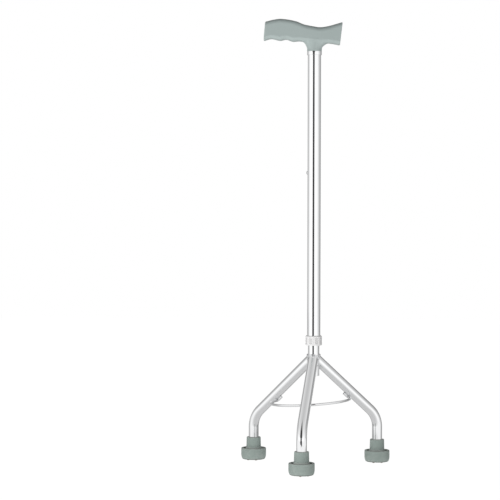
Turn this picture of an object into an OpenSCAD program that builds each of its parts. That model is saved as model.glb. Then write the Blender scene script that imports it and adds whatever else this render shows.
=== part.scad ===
// Tripod cane. A mast tube with a moulded handle slides over a stem tube that stands on three
// splayed legs. A sprung button in the stem drops into a row of holes in the mast, and a threaded
// collar under the mast closes a split bush on the stem so that the two tubes don't rattle.
// Millimetres, Z up. X runs along the handle with the grip towards -X, and the front leg points
// to -Y. The origin is on the floor, under the middle of the rectangle that holds the three feet.
// The cane is drawn at its lowest setting, standing on the studs under its feet.

/* [Mast] */
// Outer diameter of the mast tube
mast_d = 22.2; // [21:0.1:24]
// Wall of the mast tube
mast_wall = 1.2; // [0.9:0.1:1.4]
// Length of the mast tube
mast_len = 515; // [440:1:620]
// Length of the mast tube that is inside the handle
handle_insert = 31; // [24:1:33]

/* [Height setting] */
// Number of holes down the mast
hole_count = 13; // [5:1:14]
// Distance from one hole to the next
hole_pitch = 19; // [16:0.5:20]
// Diameter of the button that drops into the holes
button_d = 7; // [5:0.25:7.5]
// Distance from the underside of the handle down to the highest hole
top_hole_drop = 203; // [60:1:210]
// How far the button stands out of the mast
button_proud = 2.6; // [1.5:0.1:3]
// Direction of the row of holes about the mast, counted from +X towards +Y
hole_azimuth = 160; // [90:5:270]

/* [Stem] */
// Wall of the stem tube
stem_wall = 1.5; // [1:0.1:1.8]
// Length of stem above the button
stem_over_button = 40; // [25:1:80]
// Length of stem below the level where the legs meet it
stem_under_hub = 32.5; // [24:0.5:45]
// Height of the guide ring on top of the stem
guide_h = 5; // [3:0.5:10]

/* [Collar] */
// Height of the locking collar
collar_h = 16.5; // [15:0.5:22]
// Thickness of the collar's threaded wall
collar_wall = 1.3; // [1.1:0.1:2.5]
// Thickness of the bush's sleeve around the mast
bush_wall = 1.15; // [0.8:0.05:2]
// How far the collar reaches below the end of the mast
collar_drop = 8.5; // [8:0.5:11]
// Number of finger grips around the collar
collar_grips = 8; // [6:1:12]
// Gap between the leg junction and the lower end of the mast, at the lowest setting
mast_stop_gap = 27; // [22:0.5:60]

/* [Legs] */
// Height above the soles where the centre-lines of the legs meet the stem
hub_height = 182; // [165:0.5:210]
// Outer diameter of the leg tubes
leg_d = 17; // [14:0.5:18]
// Wall of the leg tubes
leg_wall = 1.5; // [1:0.1:2.5]
// Fall of the legs below the horizontal, in degrees
leg_slope = 42; // [36:0.5:44]
// Radius of the bend above each foot, on the centre-line
leg_bend_r = 40; // [28:1:42]
// Direction of the front leg about the stem, in degrees from +X towards +Y
front_azimuth = -99; // [-110:0.1:-85]
// Direction of the left leg
left_azimuth = 148; // [136:0.1:156]
// Direction of the right leg
right_azimuth = 21.6; // [12:0.1:30]
// Distance from the mast's axis to the front foot
front_reach = 121.5; // [105:0.5:130]
// Distance from the mast's axis to the left foot
left_reach = 121; // [105:0.5:130]
// Distance from the mast's axis to the right foot
right_reach = 116.5; // [105:0.5:130]
// Thickness of the weld bead around each leg's upper end
weld_t = 1.8; // [1:0.1:2.5]

/* [Brace] */
// Diameter of the wire that ties the legs together
wire_d = 4; // [3:0.25:5]
// Radius of the wire's arc, on its centre-line
brace_r = 67; // [60:1:80]
// How far the arc's centre lies from the mast's axis, towards the grip
brace_shift = 5; // [0:0.5:6]
// Length of the wire's turned-up ends, which lie along the rear legs
brace_tail = 10; // [6:0.5:14]

/* [Feet] */
// Height of a foot without its studs
foot_h = 37.8; // [35:0.1:44]
// Height of the foot's flange
flange_h = 19.2; // [18:0.1:24]
// Thickness of the rubber neck around the leg, at its top
neck_wall = 3.4; // [2:0.1:4]
// Growth of the neck's radius from its top to its root
neck_taper = 0.45; // [0:0.05:1]
// Width of the groove between the neck and the rim
groove_w = 4.75; // [3:0.25:6]
// Depth of the groove
groove_depth = 5; // [2:0.25:7]
// Thickness of the rim outside the groove
rim_t = 4.1; // [3:0.1:6]
// How far the sole is drawn in from the flange
toe_in = 4.1; // [2:0.1:5]
// Height of the drawn-in part
toe_h = 11; // [7:0.5:14]
// Thickness of rubber under the leg
sole_t = 10; // [8:0.5:13]
// Thickness of the steel washer under the end of the leg
washer_t = 1.5; // [1:0.1:2.5]
// Number of studs in a sole
stud_count = 5; // [3:1:6]
// Diameter of a stud
stud_d = 4; // [3:0.1:4.5]
// How far a stud stands out of the sole
stud_proud = 2; // [1.5:0.1:4]
// Radius of the ring of studs
stud_ring_r = 11.7; // [9:0.1:12.5]

/* [Handle] */
// Distance from the mast's axis to the end of the grip
grip_reach = 85; // [70:1:100]
// Distance from the mast's axis to the end of the heel
heel_reach = 47; // [38:1:55]
// Height of the handle, from its underside on the mast to its highest point
handle_h = 53.7; // [50:0.1:60]
// Depth of the handle from front to back
handle_depth = 30; // [29:0.5:36]
// Height of the grip's lower side above the handle's underside
grip_under = 17.7; // [16:0.1:20]
// Height of the heel's lower side above the handle's underside
heel_under = 13.7; // [12:0.1:16]
// Depth of the finger hollows
finger_depth = 3.6; // [1:0.1:4.5]
// Height of the flare between the neck and the grip
flare_h = 19; // [17:0.1:20]
// How far the flare reaches past the neck towards the grip
flare_grip = 8.5; // [5:0.1:12]
// How far the flare reaches past the neck towards the heel
flare_heel = 17; // [12:0.1:20]
// Rounding of the edges of the handle's two end faces
handle_round = 1.8; // [0.8:0.1:4]
// Thickness of the handle's neck and of the ring below it, around the mast
ferrule_wall = 1.1; // [0.9:0.05:2]
// Height of the bright ring below the handle
ferrule_h = 6.3; // [4:0.1:10]

/* [Hidden] */
$fn = 48;

// Clearances
slide_gap = 0.375; // between the stem and the mast's bore
run_gap = 0.25; // between pieces that turn or travel on each other
guide_gap = 0.125; // between the stem's guide ring and the mast's bore
seat_gap = 0.1; // around a piece that is pushed into its seat
mould_gap = 0.05; // around metal moulded into rubber
weld_gap = 0.15; // between tubes under a weld
brace_gap = 0.3; // between the brace wire and a leg, under a weld
cut = 0.5; // how far a cut runs past the surface it opens

// Tubes
mast_r = mast_d / 2;
mast_bore_r = mast_r - mast_wall;
stem_r = mast_bore_r - slide_gap;
stem_bore_r = stem_r - stem_wall;
leg_r = leg_d / 2;
leg_bore_r = leg_r - leg_wall;
wire_r = wire_d / 2;

// Heights above the floor, which the tips of the studs stand on
sole_z = stud_proud;
hub_z = sole_z + hub_height;
mast_end_z = hub_z + mast_stop_gap;
mast_top_z = mast_end_z + mast_len;
handle_z = mast_top_z - handle_insert;
button_z = handle_z - top_hole_drop;
stem_top_z = button_z + stem_over_button;
stem_end_z = hub_z - stem_under_hub;
collar_z = mast_end_z - collar_drop;

// Legs, in the order front, left, right
leg_azimuths = [front_azimuth, left_azimuth, right_azimuth];
leg_reaches = [front_reach, left_reach, right_reach];
legs = [0:2];

// The footprint's middle, which is the origin
foot_x = [for (i = legs) leg_reaches[i] * cos(leg_azimuths[i])];
foot_y = [for (i = legs) leg_reaches[i] * sin(leg_azimuths[i])];
mast_x = -(min(foot_x) + max(foot_x)) / 2;
mast_y = -(min(foot_y) + max(foot_y)) / 2;

// Bends of the legs: how much fatter a tube is round its bend, and how far the bend laps over
// the straight parts
bend_swell = 0.06;
bend_lap = 1.5;

// Feet
socket_r = leg_r + seat_gap;
neck_top_r = socket_r + neck_wall;
neck_root_r = neck_top_r + neck_taper;
rim_inner_r = neck_root_r + groove_w;
flange_r = rim_inner_r + rim_t;
sole_r = flange_r - toe_in;
groove_z = flange_h - groove_depth;
rim_round = 1.2;
neck_round = 1;
leg_end_z = sole_z + sole_t + washer_t + mould_gap;
stud_r = stud_d / 2;
stud_tip_r = 0.35;
stud_barrel = 1.2; // length of a stud's straight part below the sole
stud_head_over = 1.5; // how far a stud's head reaches past its shank
stud_head_r = stud_r + stud_head_over;
stud_head_t = 1;
stud_root = 5; // depth of a stud's shank in the rubber

// Collar and bush
sleeve_r = mast_r + mould_gap + bush_wall;
collar_r = sleeve_r + run_gap + collar_wall;
collar_lip = 1.2; // thickness of the lips that close the collar above and below
collar_chamfer = 1.3;
grip_depth = 0.6;
grip_w = 5.4;
grip_margin = 2.6; // plain band above and below the finger grips
shoulder_t = 2.5; // thickness of the bush under the mast's end
finger_t = 1.5; // thickness of the bush's split fingers at their ends
finger_flare = 0.6; // how much thicker they are at their roots
finger_r = stem_r + run_gap; // the bush's bore
finger_low_r = finger_r + finger_t;
finger_top_r = finger_low_r + finger_flare;
finger_slots = 6;
slot_w = 1.3;
sleeve_top_z = collar_z + collar_h - collar_lip - run_gap;
finger_end_z = collar_z + collar_lip + run_gap;
shoulder_z = mast_end_z - mould_gap - shoulder_t;

// Button: it lies along +X here and is turned to the row of holes
shank_r = button_d / 2;
hole_r = shank_r + run_gap;
button_tip = mast_r + button_proud;
button_dome = 2.2; // height of the button's rounded end
button_flange_over = 1; // how far the button's flange reaches past its shank
button_flange_r = shank_r + button_flange_over;
button_flange_t = 0.6;
flange_face = sqrt(pow(stem_bore_r, 2) - pow(button_flange_r, 2)) - seat_gap;
rivet_r = 1.4;
rivet_len = 1.1;
strip_t = 0.6; // thickness of the spring's strip
strip_w = 7;
strip_face = flange_face - button_flange_t - mould_gap; // the strip's face under the button
spring_drop = 46; // from the button down to the spring's bend
spring_over = 7; // length of the strip above the button
spring_bend_r = 2.6;

// Brace: the tilt keeps the off-centre arc the same distance under all three legs
under_leg = leg_r + wire_r + brace_gap; // from a leg's centre-line to the wire's
brace_tilt = atan(tan(leg_slope) * brace_shift / brace_r);
brace_z = hub_z - brace_r * tan(leg_slope) - under_leg / cos(leg_slope);
elbow_swell = 0.3; // how much fatter the wire is at its two elbows
elbow_r = wire_r + elbow_swell;
bead_t = 0.7; // thickness of the weld beads round the wire

// Handle. Each point of an outline is a share of the reach on its side and a height.
bore_r = mast_r + seat_gap;
handle_neck_r = bore_r + ferrule_wall;
crown = [
    [-0.98, 0.92], [-0.83, 0.975], [-0.66, 1], [-0.38, 0.93], [-0.19, 0.82],
    [0.13, 0.742], [0.46, 0.768], [1, 0.9]
];
heel_tip_drop = 3.3; // how much lower the heel's end is than the rest of its lower side
heel_slant = 4.5; // the heel's end face leans back by this much at its lower edge
grip_slant = 2.7; // and the grip's by this much at its upper edge
// The grip's lower side: share of the reach, and height in depths of a finger hollow
fingers = [
    [-1, 0], [-0.85, 0.95], [-0.675, 0.17], [-0.55, 0.65], [-0.43, -0.25], [-0.3, -0.1], [-0.2, -0.4]
];
belly = concat(
    [for (f = fingers) [f[0], grip_under + f[1] * finger_depth]],
    [[0.1, heel_under], [0.53, heel_under], [1, heel_under - heel_tip_drop]]
);
// The neck's flare: shares of its height and of its reach towards the grip, the heel and the sides
flare = [
    [0, 0, 0, 0], [0.24, 0, 0.01, 0], [0.42, 0.13, 0.11, 0.17], [0.63, 0.35, 0.41, 0.43],
    [0.79, 0.66, 0.76, 0.7], [1, 1, 1, 1]
];
flare_side = 2.3; // reach of the flare to each side
barrel = 1.2; // how much narrower the handle is at its ends, each side
corner = 5; // exponent of the handle's rounded section, where 2 is an ellipse
handle_rings = 50;
ring_sides = 32;
screw_z = 20; // height of the screw above the handle's underside
screw_r = 1.55;
screw_head_r = 3.6;
screw_head_t = 1.6;
screw_slot = 0.8; // width and depth of the slot in the screw's head
screw_recess = 1.2; // how far the screw's head lies below the handle's side
screw_reach = 2; // how far the screw's point passes the mast's wall
screw_seat = handle_depth / 2 - screw_recess - screw_head_t;

// Piecewise cubic through a list of [x, z] points, with the slope at each point from its neighbours
function slope_at(p, i) =
    let (a = p[max(i - 1, 0)])
    let (b = p[min(i + 1, len(p) - 1)])
    (b[1] - a[1]) / (b[0] - a[0]);
function span_of(p, x) = max([0, for (i = [0:len(p) - 2]) if (x >= p[i][0]) i]);
function through(p, x) =
    let (i = span_of(p, x))
    let (w = p[i + 1][0] - p[i][0])
    let (t = min(max((x - p[i][0]) / w, 0), 1))
    (2 * pow(t, 3) - 3 * pow(t, 2) + 1) * p[i][1]
    + (pow(t, 3) - 2 * pow(t, 2) + t) * w * slope_at(p, i)
    + (3 * pow(t, 2) - 2 * pow(t, 3)) * p[i + 1][1]
    + (pow(t, 3) - pow(t, 2)) * w * slope_at(p, i + 1);
function bent(v, n) = sign(v) * pow(abs(v), 2 / n);
function mix(a, b, t) = a + (b - a) * t;

// Angles of a quarter turn in n equal steps
function quarter(n) = [for (k = [0:n]) 90 * k / n];

// One section of the handle at a share t of its length
function handle_ring(t) =
    let (along = (1 - cos(180 * t)) / 2)
    let (end_gap = min(along, 1 - along) * (grip_reach + heel_reach))
    let (short = max(handle_round - end_gap, 0))
    let (inset = handle_round - sqrt(pow(handle_round, 2) - pow(short, 2)))
    let (x = mix(-grip_reach, heel_reach, along))
    let (share = x / (x < 0 ? grip_reach : heel_reach))
    let (top = through(crown, share) * handle_h - inset)
    let (low = through(belly, share) + inset)
    let (half_w = handle_depth / 2 - barrel * pow(2 * along - 1, 2) - inset)
    let (heel_lean = heel_slant * pow(max(share, 0), 2))
    let (grip_lean = grip_slant * pow(max(-share, 0), 2))
    [for (k = [0:ring_sides - 1])
        let (a = 360 * k / ring_sides)
        let (rise = bent(sin(a), corner))
        [
            x - heel_lean * (1 - rise) / 2 + grip_lean * (1 + rise) / 2,
            half_w * bent(cos(a), corner),
            mix(low, top, (1 + rise) / 2)
        ]
    ];

// One section of the handle's neck, at one line of the flare
function neck_ring(f) =
    let (left = handle_neck_r + f[1] * flare_grip)
    let (right = handle_neck_r + f[2] * flare_heel)
    let (half_w = min(handle_neck_r + f[3] * flare_side, handle_depth / 2 - barrel))
    [for (k = [0:ring_sides - 1])
        let (a = 360 * k / ring_sides)
        [cos(a) * (cos(a) > 0 ? right : left), half_w * sin(a), f[0] * flare_h]
    ];

// A closed skin over a list of rings that all have the same number of points
module skin(rings) {
    n = len(rings[0]);
    last = len(rings) - 1;
    polyhedron(
        points = [for (ring = rings) for (p = ring) p],
        faces = [
            [for (k = [0:n - 1]) k],
            for (i = [0:last - 1]) for (k = [0:n - 1])
                each [
                    [i * n + k, (i + 1) * n + k, (i + 1) * n + (k + 1) % n],
                    [i * n + k, (i + 1) * n + (k + 1) % n, i * n + (k + 1) % n]
                ],
            [for (k = [n - 1:-1:0]) last * n + k]
        ]
    );
}

// Moves what is drawn about the stem's axis to its place over the footprint
module on_stem(z = 0) {
    translate([mast_x, mast_y, z]) children();
}

module tube(r, bore, h) {
    difference() {
        cylinder(r = r, h = h);
        translate([0, 0, -cut]) cylinder(r = bore, h = h + 2 * cut);
    }
}

// A cylinder from the axis outwards, in the direction of the row of holes
module button_hole(z) {
    translate([0, 0, z]) rotate([0, 0, hole_azimuth]) rotate([0, 90, 0]) cylinder(r = hole_r, h = mast_d);
}

module mast_tube() {
    color("silver") on_stem() difference() {
        translate([0, 0, mast_end_z]) tube(mast_r, mast_bore_r, mast_len);
        for (i = [0:hole_count - 1]) button_hole(button_z - i * hole_pitch);
        along_screw(0) cylinder(r = screw_r + seat_gap, h = mast_d);
    }
}

// Turns a piece onto the screw's axis, which runs through the mast to the back of the handle
module along_screw(y) {
    translate([0, y, handle_z + screw_z]) rotate([-90, 0, 0]) children();
}

module handle() {
    color([0.65, 0.69, 0.68]) on_stem() difference() {
        translate([0, 0, handle_z]) {
            skin([for (i = [0:handle_rings]) handle_ring(i / handle_rings)]);
            skin([for (f = flare) neck_ring(f)]);
        }
        translate([0, 0, handle_z - cut]) cylinder(r = bore_r, h = handle_insert + seat_gap + cut);
        along_screw(0) cylinder(r = screw_r + 2 * seat_gap, h = handle_depth);
        along_screw(screw_seat) cylinder(r = screw_head_r + seat_gap, h = handle_depth);
    }
}

module handle_ferrule() {
    foot_round = 2.6; // height of the ring's rounded lower edge
    color("silver") on_stem(handle_z - ferrule_h) rotate_extrude() polygon(concat(
        [[bore_r, 0]],
        [for (a = quarter(6)) if (a > 0) [bore_r + ferrule_wall * sin(a), foot_round * (1 - cos(a))]],
        [[bore_r + ferrule_wall, ferrule_h], [bore_r, ferrule_h]]
    ));
}

module handle_screw() {
    color("dimgray") on_stem() difference() {
        union() {
            along_screw(mast_bore_r - screw_reach)
                cylinder(r = screw_r, h = screw_seat - mast_bore_r + screw_reach + cut);
            along_screw(screw_seat) cylinder(r = screw_head_r, h = screw_head_t);
        }
        along_screw(screw_seat + screw_head_t - screw_slot)
            translate([-screw_head_r - cut, -screw_slot / 2, 0])
                cube([2 * screw_head_r + 2 * cut, screw_slot, screw_head_t]);
    }
}

// A split bush: its sleeve holds the end of the mast, and its fingers close on the stem
module collet_bush() {
    color([0.9, 0.9, 0.88]) on_stem() difference() {
        rotate_extrude() polygon([
            [finger_r, finger_end_z], [finger_low_r, finger_end_z], [finger_top_r, shoulder_z],
            [sleeve_r, shoulder_z], [sleeve_r, sleeve_top_z], [mast_r + mould_gap, sleeve_top_z],
            [mast_r + mould_gap, mast_end_z - mould_gap], [finger_r, mast_end_z - mould_gap]
        ]);
        for (i = [0:finger_slots - 1]) rotate([0, 0, i * 360 / finger_slots])
            translate([0, -slot_w / 2, finger_end_z - cut])
                cube([collar_r, slot_w, shoulder_z - finger_end_z + cut]);
    }
}

module locking_collar() {
    top = collar_z + collar_h;
    nut_r = sleeve_r + run_gap;
    lip_r = stem_r + 3 * run_gap;
    cone_z = shoulder_z - run_gap;
    grip_h = collar_h - 2 * grip_margin;
    color([0.88, 0.88, 0.88]) on_stem() difference() {
        rotate_extrude() polygon([
            [lip_r, collar_z], [collar_r - collar_chamfer, collar_z],
            [collar_r, collar_z + collar_chamfer], [collar_r, top - collar_chamfer],
            [collar_r - collar_chamfer, top], [mast_r + run_gap, top],
            [mast_r + run_gap, top - collar_lip], [nut_r, top - collar_lip], [nut_r, cone_z],
            [finger_top_r + run_gap, cone_z], [finger_low_r + run_gap, collar_z + collar_lip],
            [lip_r, collar_z + collar_lip]
        ]);
        for (i = [0:collar_grips - 1]) rotate([0, 0, (i + 0.5) * 360 / collar_grips])
            translate([collar_r - grip_depth, -grip_w / 2, collar_z + grip_margin])
                cube([collar_chamfer + cut, grip_w, grip_h]);
    }
}

// The button lies on its axis, with its flange inside the stem and its domed end outside the mast
module snap_button() {
    dome_r = (pow(shank_r, 2) + pow(button_dome, 2)) / (2 * button_dome);
    half = asin(shank_r / dome_r);
    steps = 8;
    color("silver") on_stem(button_z) rotate([0, 0, hole_azimuth]) rotate([0, 90, 0])
        rotate_extrude() polygon([
            [0, flange_face - button_flange_t - rivet_len],
            [rivet_r, flange_face - button_flange_t - rivet_len],
            [rivet_r, flange_face - button_flange_t], [button_flange_r, flange_face - button_flange_t],
            [button_flange_r, flange_face], [shank_r, flange_face],
            for (i = [0:steps]) let (a = half * (1 - i / steps))
                [dome_r * sin(a), button_tip - dome_r + dome_r * cos(a)]
        ]);
}

// A leaf of spring steel bent to a hairpin, its front leg under the button
module button_spring() {
    front = strip_face;
    back = -strip_face;
    low = button_z - spring_drop;
    top = button_z + spring_over;
    knee = button_z - spring_over;
    color("darkgray") on_stem() rotate([0, 0, hole_azimuth]) difference() {
        rotate([90, 0, 0]) translate([0, 0, -strip_w / 2]) linear_extrude(strip_w) {
            polygon(concat(
                [[front, top], [front, knee]],
                [for (a = [0:15:180]) spring_bend_r * [cos(a), -sin(a)] + [0, low]],
                [[back, knee], [back, top], [back + strip_t, top], [back + strip_t, knee]],
                [for (a = [180:-15:0]) (spring_bend_r - strip_t) * [cos(a), -sin(a)] + [0, low]],
                [[front - strip_t, knee], [front - strip_t, top]]
            ));
        }
        translate([0, 0, button_z]) rotate([0, 90, 0]) cylinder(r = rivet_r + mould_gap, h = mast_r);
    }
}

module stem_tube() {
    color("silver") on_stem() difference() {
        translate([0, 0, stem_end_z]) tube(stem_r, stem_bore_r, stem_top_z - stem_end_z);
        button_hole(button_z);
    }
}

// A plastic guide pushed into the top of the stem, a close fit in the mast's bore
module stem_guide() {
    spigot = 12;
    vent_r = 4;
    chamfer = 1;
    lip_r = mast_bore_r - guide_gap;
    color([0.2, 0.2, 0.2]) on_stem() rotate_extrude() polygon([
        [vent_r, stem_top_z - spigot], [stem_bore_r - mould_gap, stem_top_z - spigot],
        [stem_bore_r - mould_gap, stem_top_z + mould_gap], [lip_r, stem_top_z + mould_gap],
        [lip_r, stem_top_z + guide_h - chamfer], [lip_r - chamfer, stem_top_z + guide_h],
        [vent_r, stem_top_z + guide_h]
    ]);
}

// A leg in its own upright plane, X outwards: a sloping part, a bend and a straight lower end
module leg_rod(i, r) {
    reach = leg_reaches[i];
    corner_z = hub_z - reach * tan(leg_slope);
    turn = 90 - leg_slope;
    setback = leg_bend_r * tan(turn / 2);
    slope_len = reach / cos(leg_slope) - setback;
    translate([reach - leg_bend_r, 0, corner_z - setback]) rotate([90, 0, 0]) {
        rotate_extrude(angle = turn) translate([leg_bend_r, 0]) circle(r = r + bend_swell);
        translate([leg_bend_r, bend_lap, 0]) rotate([90, 0, 0])
            cylinder(r = r, h = corner_z - setback - leg_end_z + bend_lap);
        rotate([0, 0, turn]) translate([leg_bend_r, -bend_lap, 0]) rotate([-90, 0, 0])
            cylinder(r = r, h = slope_len + bend_lap);
    }
}

// Angle from leg i to the next leg, counterclockwise for a way of 1 and clockwise for -1
function to_next(i, way) =
    min([for (j = legs) if (j != i)
        let (turn = way * (leg_azimuths[j] - leg_azimuths[i]))
        turn - 360 * floor(turn / 360)]);

// The share of the turn that belongs to leg i, so that the legs' upper ends don't meet
module leg_sector(i) {
    left = to_next(i, 1) / 2;
    right = to_next(i, -1) / 2;
    far = 3 * leg_reaches[i];
    rotate([0, 0, leg_azimuths[i]]) translate([weld_gap, 0, 0]) linear_extrude(far)
        polygon([[0, 0], far * [cos(right), -sin(right)], [far, 0], far * [cos(left), sin(left)]]);
}

module leg(i) {
    color("silver") on_stem() intersection() {
        difference() {
            rotate([0, 0, leg_azimuths[i]]) difference() {
                leg_rod(i, leg_r);
                leg_rod(i, leg_bore_r);
                translate([leg_reaches[i], 0, leg_end_z - cut]) cylinder(r = leg_bore_r, h = 2 * cut);
            }
            translate([0, 0, hub_z - 2 * leg_d]) cylinder(r = stem_r + weld_gap, h = 4 * leg_d);
        }
        leg_sector(i);
    }
}

module front_leg() {
    leg(0);
}

module left_leg() {
    leg(1);
}

module right_leg() {
    leg(2);
}

// The weld fills the corner between the stem and each leg
module hub_weld() {
    skirt = 2 * leg_d;
    color("gainsboro") on_stem() for (i = legs) intersection() {
        difference() {
            intersection() {
                rotate([0, 0, leg_azimuths[i]]) translate([0, 0, hub_z]) rotate([0, 90 + leg_slope, 0])
                    cylinder(r = leg_r + weld_t, h = skirt);
                translate([0, 0, hub_z - skirt]) cylinder(r = stem_r + weld_t, h = 2 * skirt);
            }
            rotate([0, 0, leg_azimuths[i]]) translate([0, 0, hub_z]) rotate([0, 90 + leg_slope, 0])
                translate([0, 0, -skirt]) cylinder(r = leg_r + mould_gap, h = 2 * skirt);
            translate([0, 0, hub_z - 2 * skirt]) cylinder(r = stem_r + mould_gap, h = 4 * skirt);
        }
        leg_sector(i);
    }
}

// The brace's arc from the left leg round the front to the right leg, in its tilted plane
module brace_frame() {
    translate([-brace_shift, 0, brace_z]) rotate([0, -brace_tilt, 0]) children();
}

// Turns and moves a straight piece onto a leg's lower side, starting where the arc meets it
module on_leg_underside(i) {
    a = leg_azimuths[i];
    r = -brace_shift * cos(a) + sqrt(pow(brace_r, 2) - pow(brace_shift * sin(a), 2));
    z = hub_z - r * tan(leg_slope) - under_leg / cos(leg_slope);
    rotate([0, 0, a]) translate([r, 0, z]) rotate([0, leg_slope - 90, 0]) children();
}

// Angle about the arc's own centre of the place where it passes under leg i
function arc_angle(i) = leg_azimuths[i] - asin(brace_shift * sin(leg_azimuths[i]) / brace_r);

module brace_rod(r) {
    start = arc_angle(1) - 360;
    brace_frame() rotate([0, 0, start]) rotate_extrude(angle = arc_angle(2) - start, $fn = 96)
        translate([brace_r, 0]) circle(r = r, $fn = 32);
}

module brace_wire() {
    color("silver") on_stem() {
        brace_rod(wire_r);
        for (i = [1, 2]) on_leg_underside(i) {
            sphere(r = elbow_r);
            cylinder(r = wire_r, h = brace_tail);
        }
    }
}

// Small beads where the wire lies against the legs: across the front leg, and along each tail
module brace_welds() {
    $fn = 96;
    bead_r = wire_r + bead_t;
    color("gainsboro") on_stem() for (i = legs) on_leg_underside(i) difference() {
        translate([wire_r + brace_gap / 2, 0, 0]) {
            if (i == 0) rotate([90, 0, 0]) cylinder(r = bead_r, h = wire_d, center = true);
            else translate([0, 0, elbow_r]) cylinder(r = bead_r, h = brace_tail - elbow_r);
        }
        translate([under_leg, 0, -leg_d]) cylinder(r = leg_r + mould_gap, h = 3 * leg_d);
        if (i == 0) rotate([90, 0, 0]) cylinder(r = wire_r + brace_gap, h = leg_d, center = true);
        else cylinder(r = wire_r + mould_gap, h = leg_d);
    }
}

module at_foot(i) {
    on_stem(sole_z) rotate([0, 0, leg_azimuths[i]]) translate([leg_reaches[i], 0, 0]) children();
}

// Places of the studs in a sole
module at_studs() {
    for (k = [0:stud_count - 1]) rotate([0, 0, k * 360 / stud_count]) translate([stud_ring_r, 0, 0])
        children();
}

// Half the section of a foot: the sole's edge is an arc from the sole up to the flange
function foot_section() =
    let (toe_arc = [for (a = quarter(8)) [sole_r + toe_in * sin(a), toe_h * (1 - cos(a))]])
    let (rim_out = [for (a = quarter(4))
        [flange_r - rim_round * (1 - cos(a)), flange_h - rim_round * (1 - sin(a))]])
    let (rim_in = [for (a = quarter(4))
        [rim_inner_r + rim_round * (1 - sin(a)), flange_h - rim_round * (1 - cos(a))]])
    let (neck_edge = [for (a = quarter(3))
        [neck_top_r - neck_round * (1 - cos(a)), foot_h - neck_round * (1 - sin(a))]])
    concat(
        [[0, 0]], toe_arc, rim_out, rim_in, [[rim_inner_r, groove_z], [neck_root_r, groove_z]],
        neck_edge, [[socket_r, foot_h], [socket_r, sole_t], [0, sole_t]]
    );

module foot(i) {
    color([0.56, 0.61, 0.59]) at_foot(i) difference() {
        rotate_extrude() polygon(foot_section());
        at_studs() stud(mould_gap);
    }
}

// A stud: a head in the rubber, a shank and a pointed end below the sole
module stud(grow = 0) {
    color("rosybrown") rotate_extrude($fn = 24) polygon([
        [0, -stud_proud - grow], [stud_tip_r + grow, -stud_proud - grow],
        [stud_r + grow, -stud_barrel], [stud_r + grow, stud_root],
        [stud_head_r + grow, stud_root - grow], [stud_head_r + grow, stud_root + stud_head_t + grow],
        [0, stud_root + stud_head_t + grow]
    ]);
}

module front_foot() {
    foot(0);
}

module left_foot() {
    foot(1);
}

module right_foot() {
    foot(2);
}

module foot_washer(i) {
    color("gray") at_foot(i) translate([0, 0, sole_t]) cylinder(r = leg_r - seat_gap, h = washer_t);
}

module front_foot_washer() {
    foot_washer(0);
}

module left_foot_washer() {
    foot_washer(1);
}

module right_foot_washer() {
    foot_washer(2);
}

module front_foot_studs() {
    at_foot(0) at_studs() stud();
}

module left_foot_studs() {
    at_foot(1) at_studs() stud();
}

module right_foot_studs() {
    at_foot(2) at_studs() stud();
}

mast_tube();
handle();
handle_ferrule();
handle_screw();
collet_bush();
locking_collar();
snap_button();
button_spring();
stem_tube();
stem_guide();
front_leg();
left_leg();
right_leg();
hub_weld();
brace_wire();
brace_welds();
front_foot();
left_foot();
right_foot();
front_foot_washer();
left_foot_washer();
right_foot_washer();
front_foot_studs();
left_foot_studs();
right_foot_studs();
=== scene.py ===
"""Looks of a tripod cane: chromed telescoping tubes, a moulded handle and three rubber feet.

Everything is in metres with Z up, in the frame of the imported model. X runs along the handle with
the grip towards -X, and the front leg points to -Y. Sizes that the frame gives are read from its
nodes' boxes, and the rest are fields of the sub-assemblies.
"""

import logging
from collections.abc import Callable, Iterable, Sequence
from dataclasses import dataclass, field
from enum import Enum
from math import asin, atan, atan2, ceil, cos, hypot, pi, radians, sin, sqrt, tan

import bmesh
import bpy
import numpy as np
from mathutils import Matrix, Vector


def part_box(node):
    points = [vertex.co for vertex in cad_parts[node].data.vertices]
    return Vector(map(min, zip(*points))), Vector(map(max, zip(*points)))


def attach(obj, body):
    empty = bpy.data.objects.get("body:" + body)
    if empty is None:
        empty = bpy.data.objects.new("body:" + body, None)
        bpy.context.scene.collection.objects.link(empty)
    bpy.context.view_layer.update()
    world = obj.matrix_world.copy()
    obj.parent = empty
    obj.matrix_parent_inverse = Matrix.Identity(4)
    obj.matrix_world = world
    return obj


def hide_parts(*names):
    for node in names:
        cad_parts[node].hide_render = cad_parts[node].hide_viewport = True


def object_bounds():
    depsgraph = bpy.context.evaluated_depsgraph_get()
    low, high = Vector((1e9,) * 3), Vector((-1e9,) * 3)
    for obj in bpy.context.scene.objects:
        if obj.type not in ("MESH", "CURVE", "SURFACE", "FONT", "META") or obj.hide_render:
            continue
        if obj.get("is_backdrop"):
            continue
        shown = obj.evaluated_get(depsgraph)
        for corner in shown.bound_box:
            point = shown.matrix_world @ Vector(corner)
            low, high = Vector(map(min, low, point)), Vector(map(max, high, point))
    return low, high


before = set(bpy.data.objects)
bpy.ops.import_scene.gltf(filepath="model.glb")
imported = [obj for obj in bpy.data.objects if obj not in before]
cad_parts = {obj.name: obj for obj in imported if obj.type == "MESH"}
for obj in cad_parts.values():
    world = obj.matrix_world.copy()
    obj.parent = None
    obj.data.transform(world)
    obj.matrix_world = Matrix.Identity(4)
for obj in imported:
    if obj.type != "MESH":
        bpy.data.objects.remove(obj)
cad_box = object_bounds()

log = logging.getLogger("tripod_cane")
MM = 0.001
FULL_TURN = 2 * pi
WHITE = (1.0, 1.0, 1.0)
# Points that are closer than this are one
SAME_PLACE = 1e-7
# Edges between faces that meet at a greater angle than this stay sharp
SHARP_ANGLE = radians(38)

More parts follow.
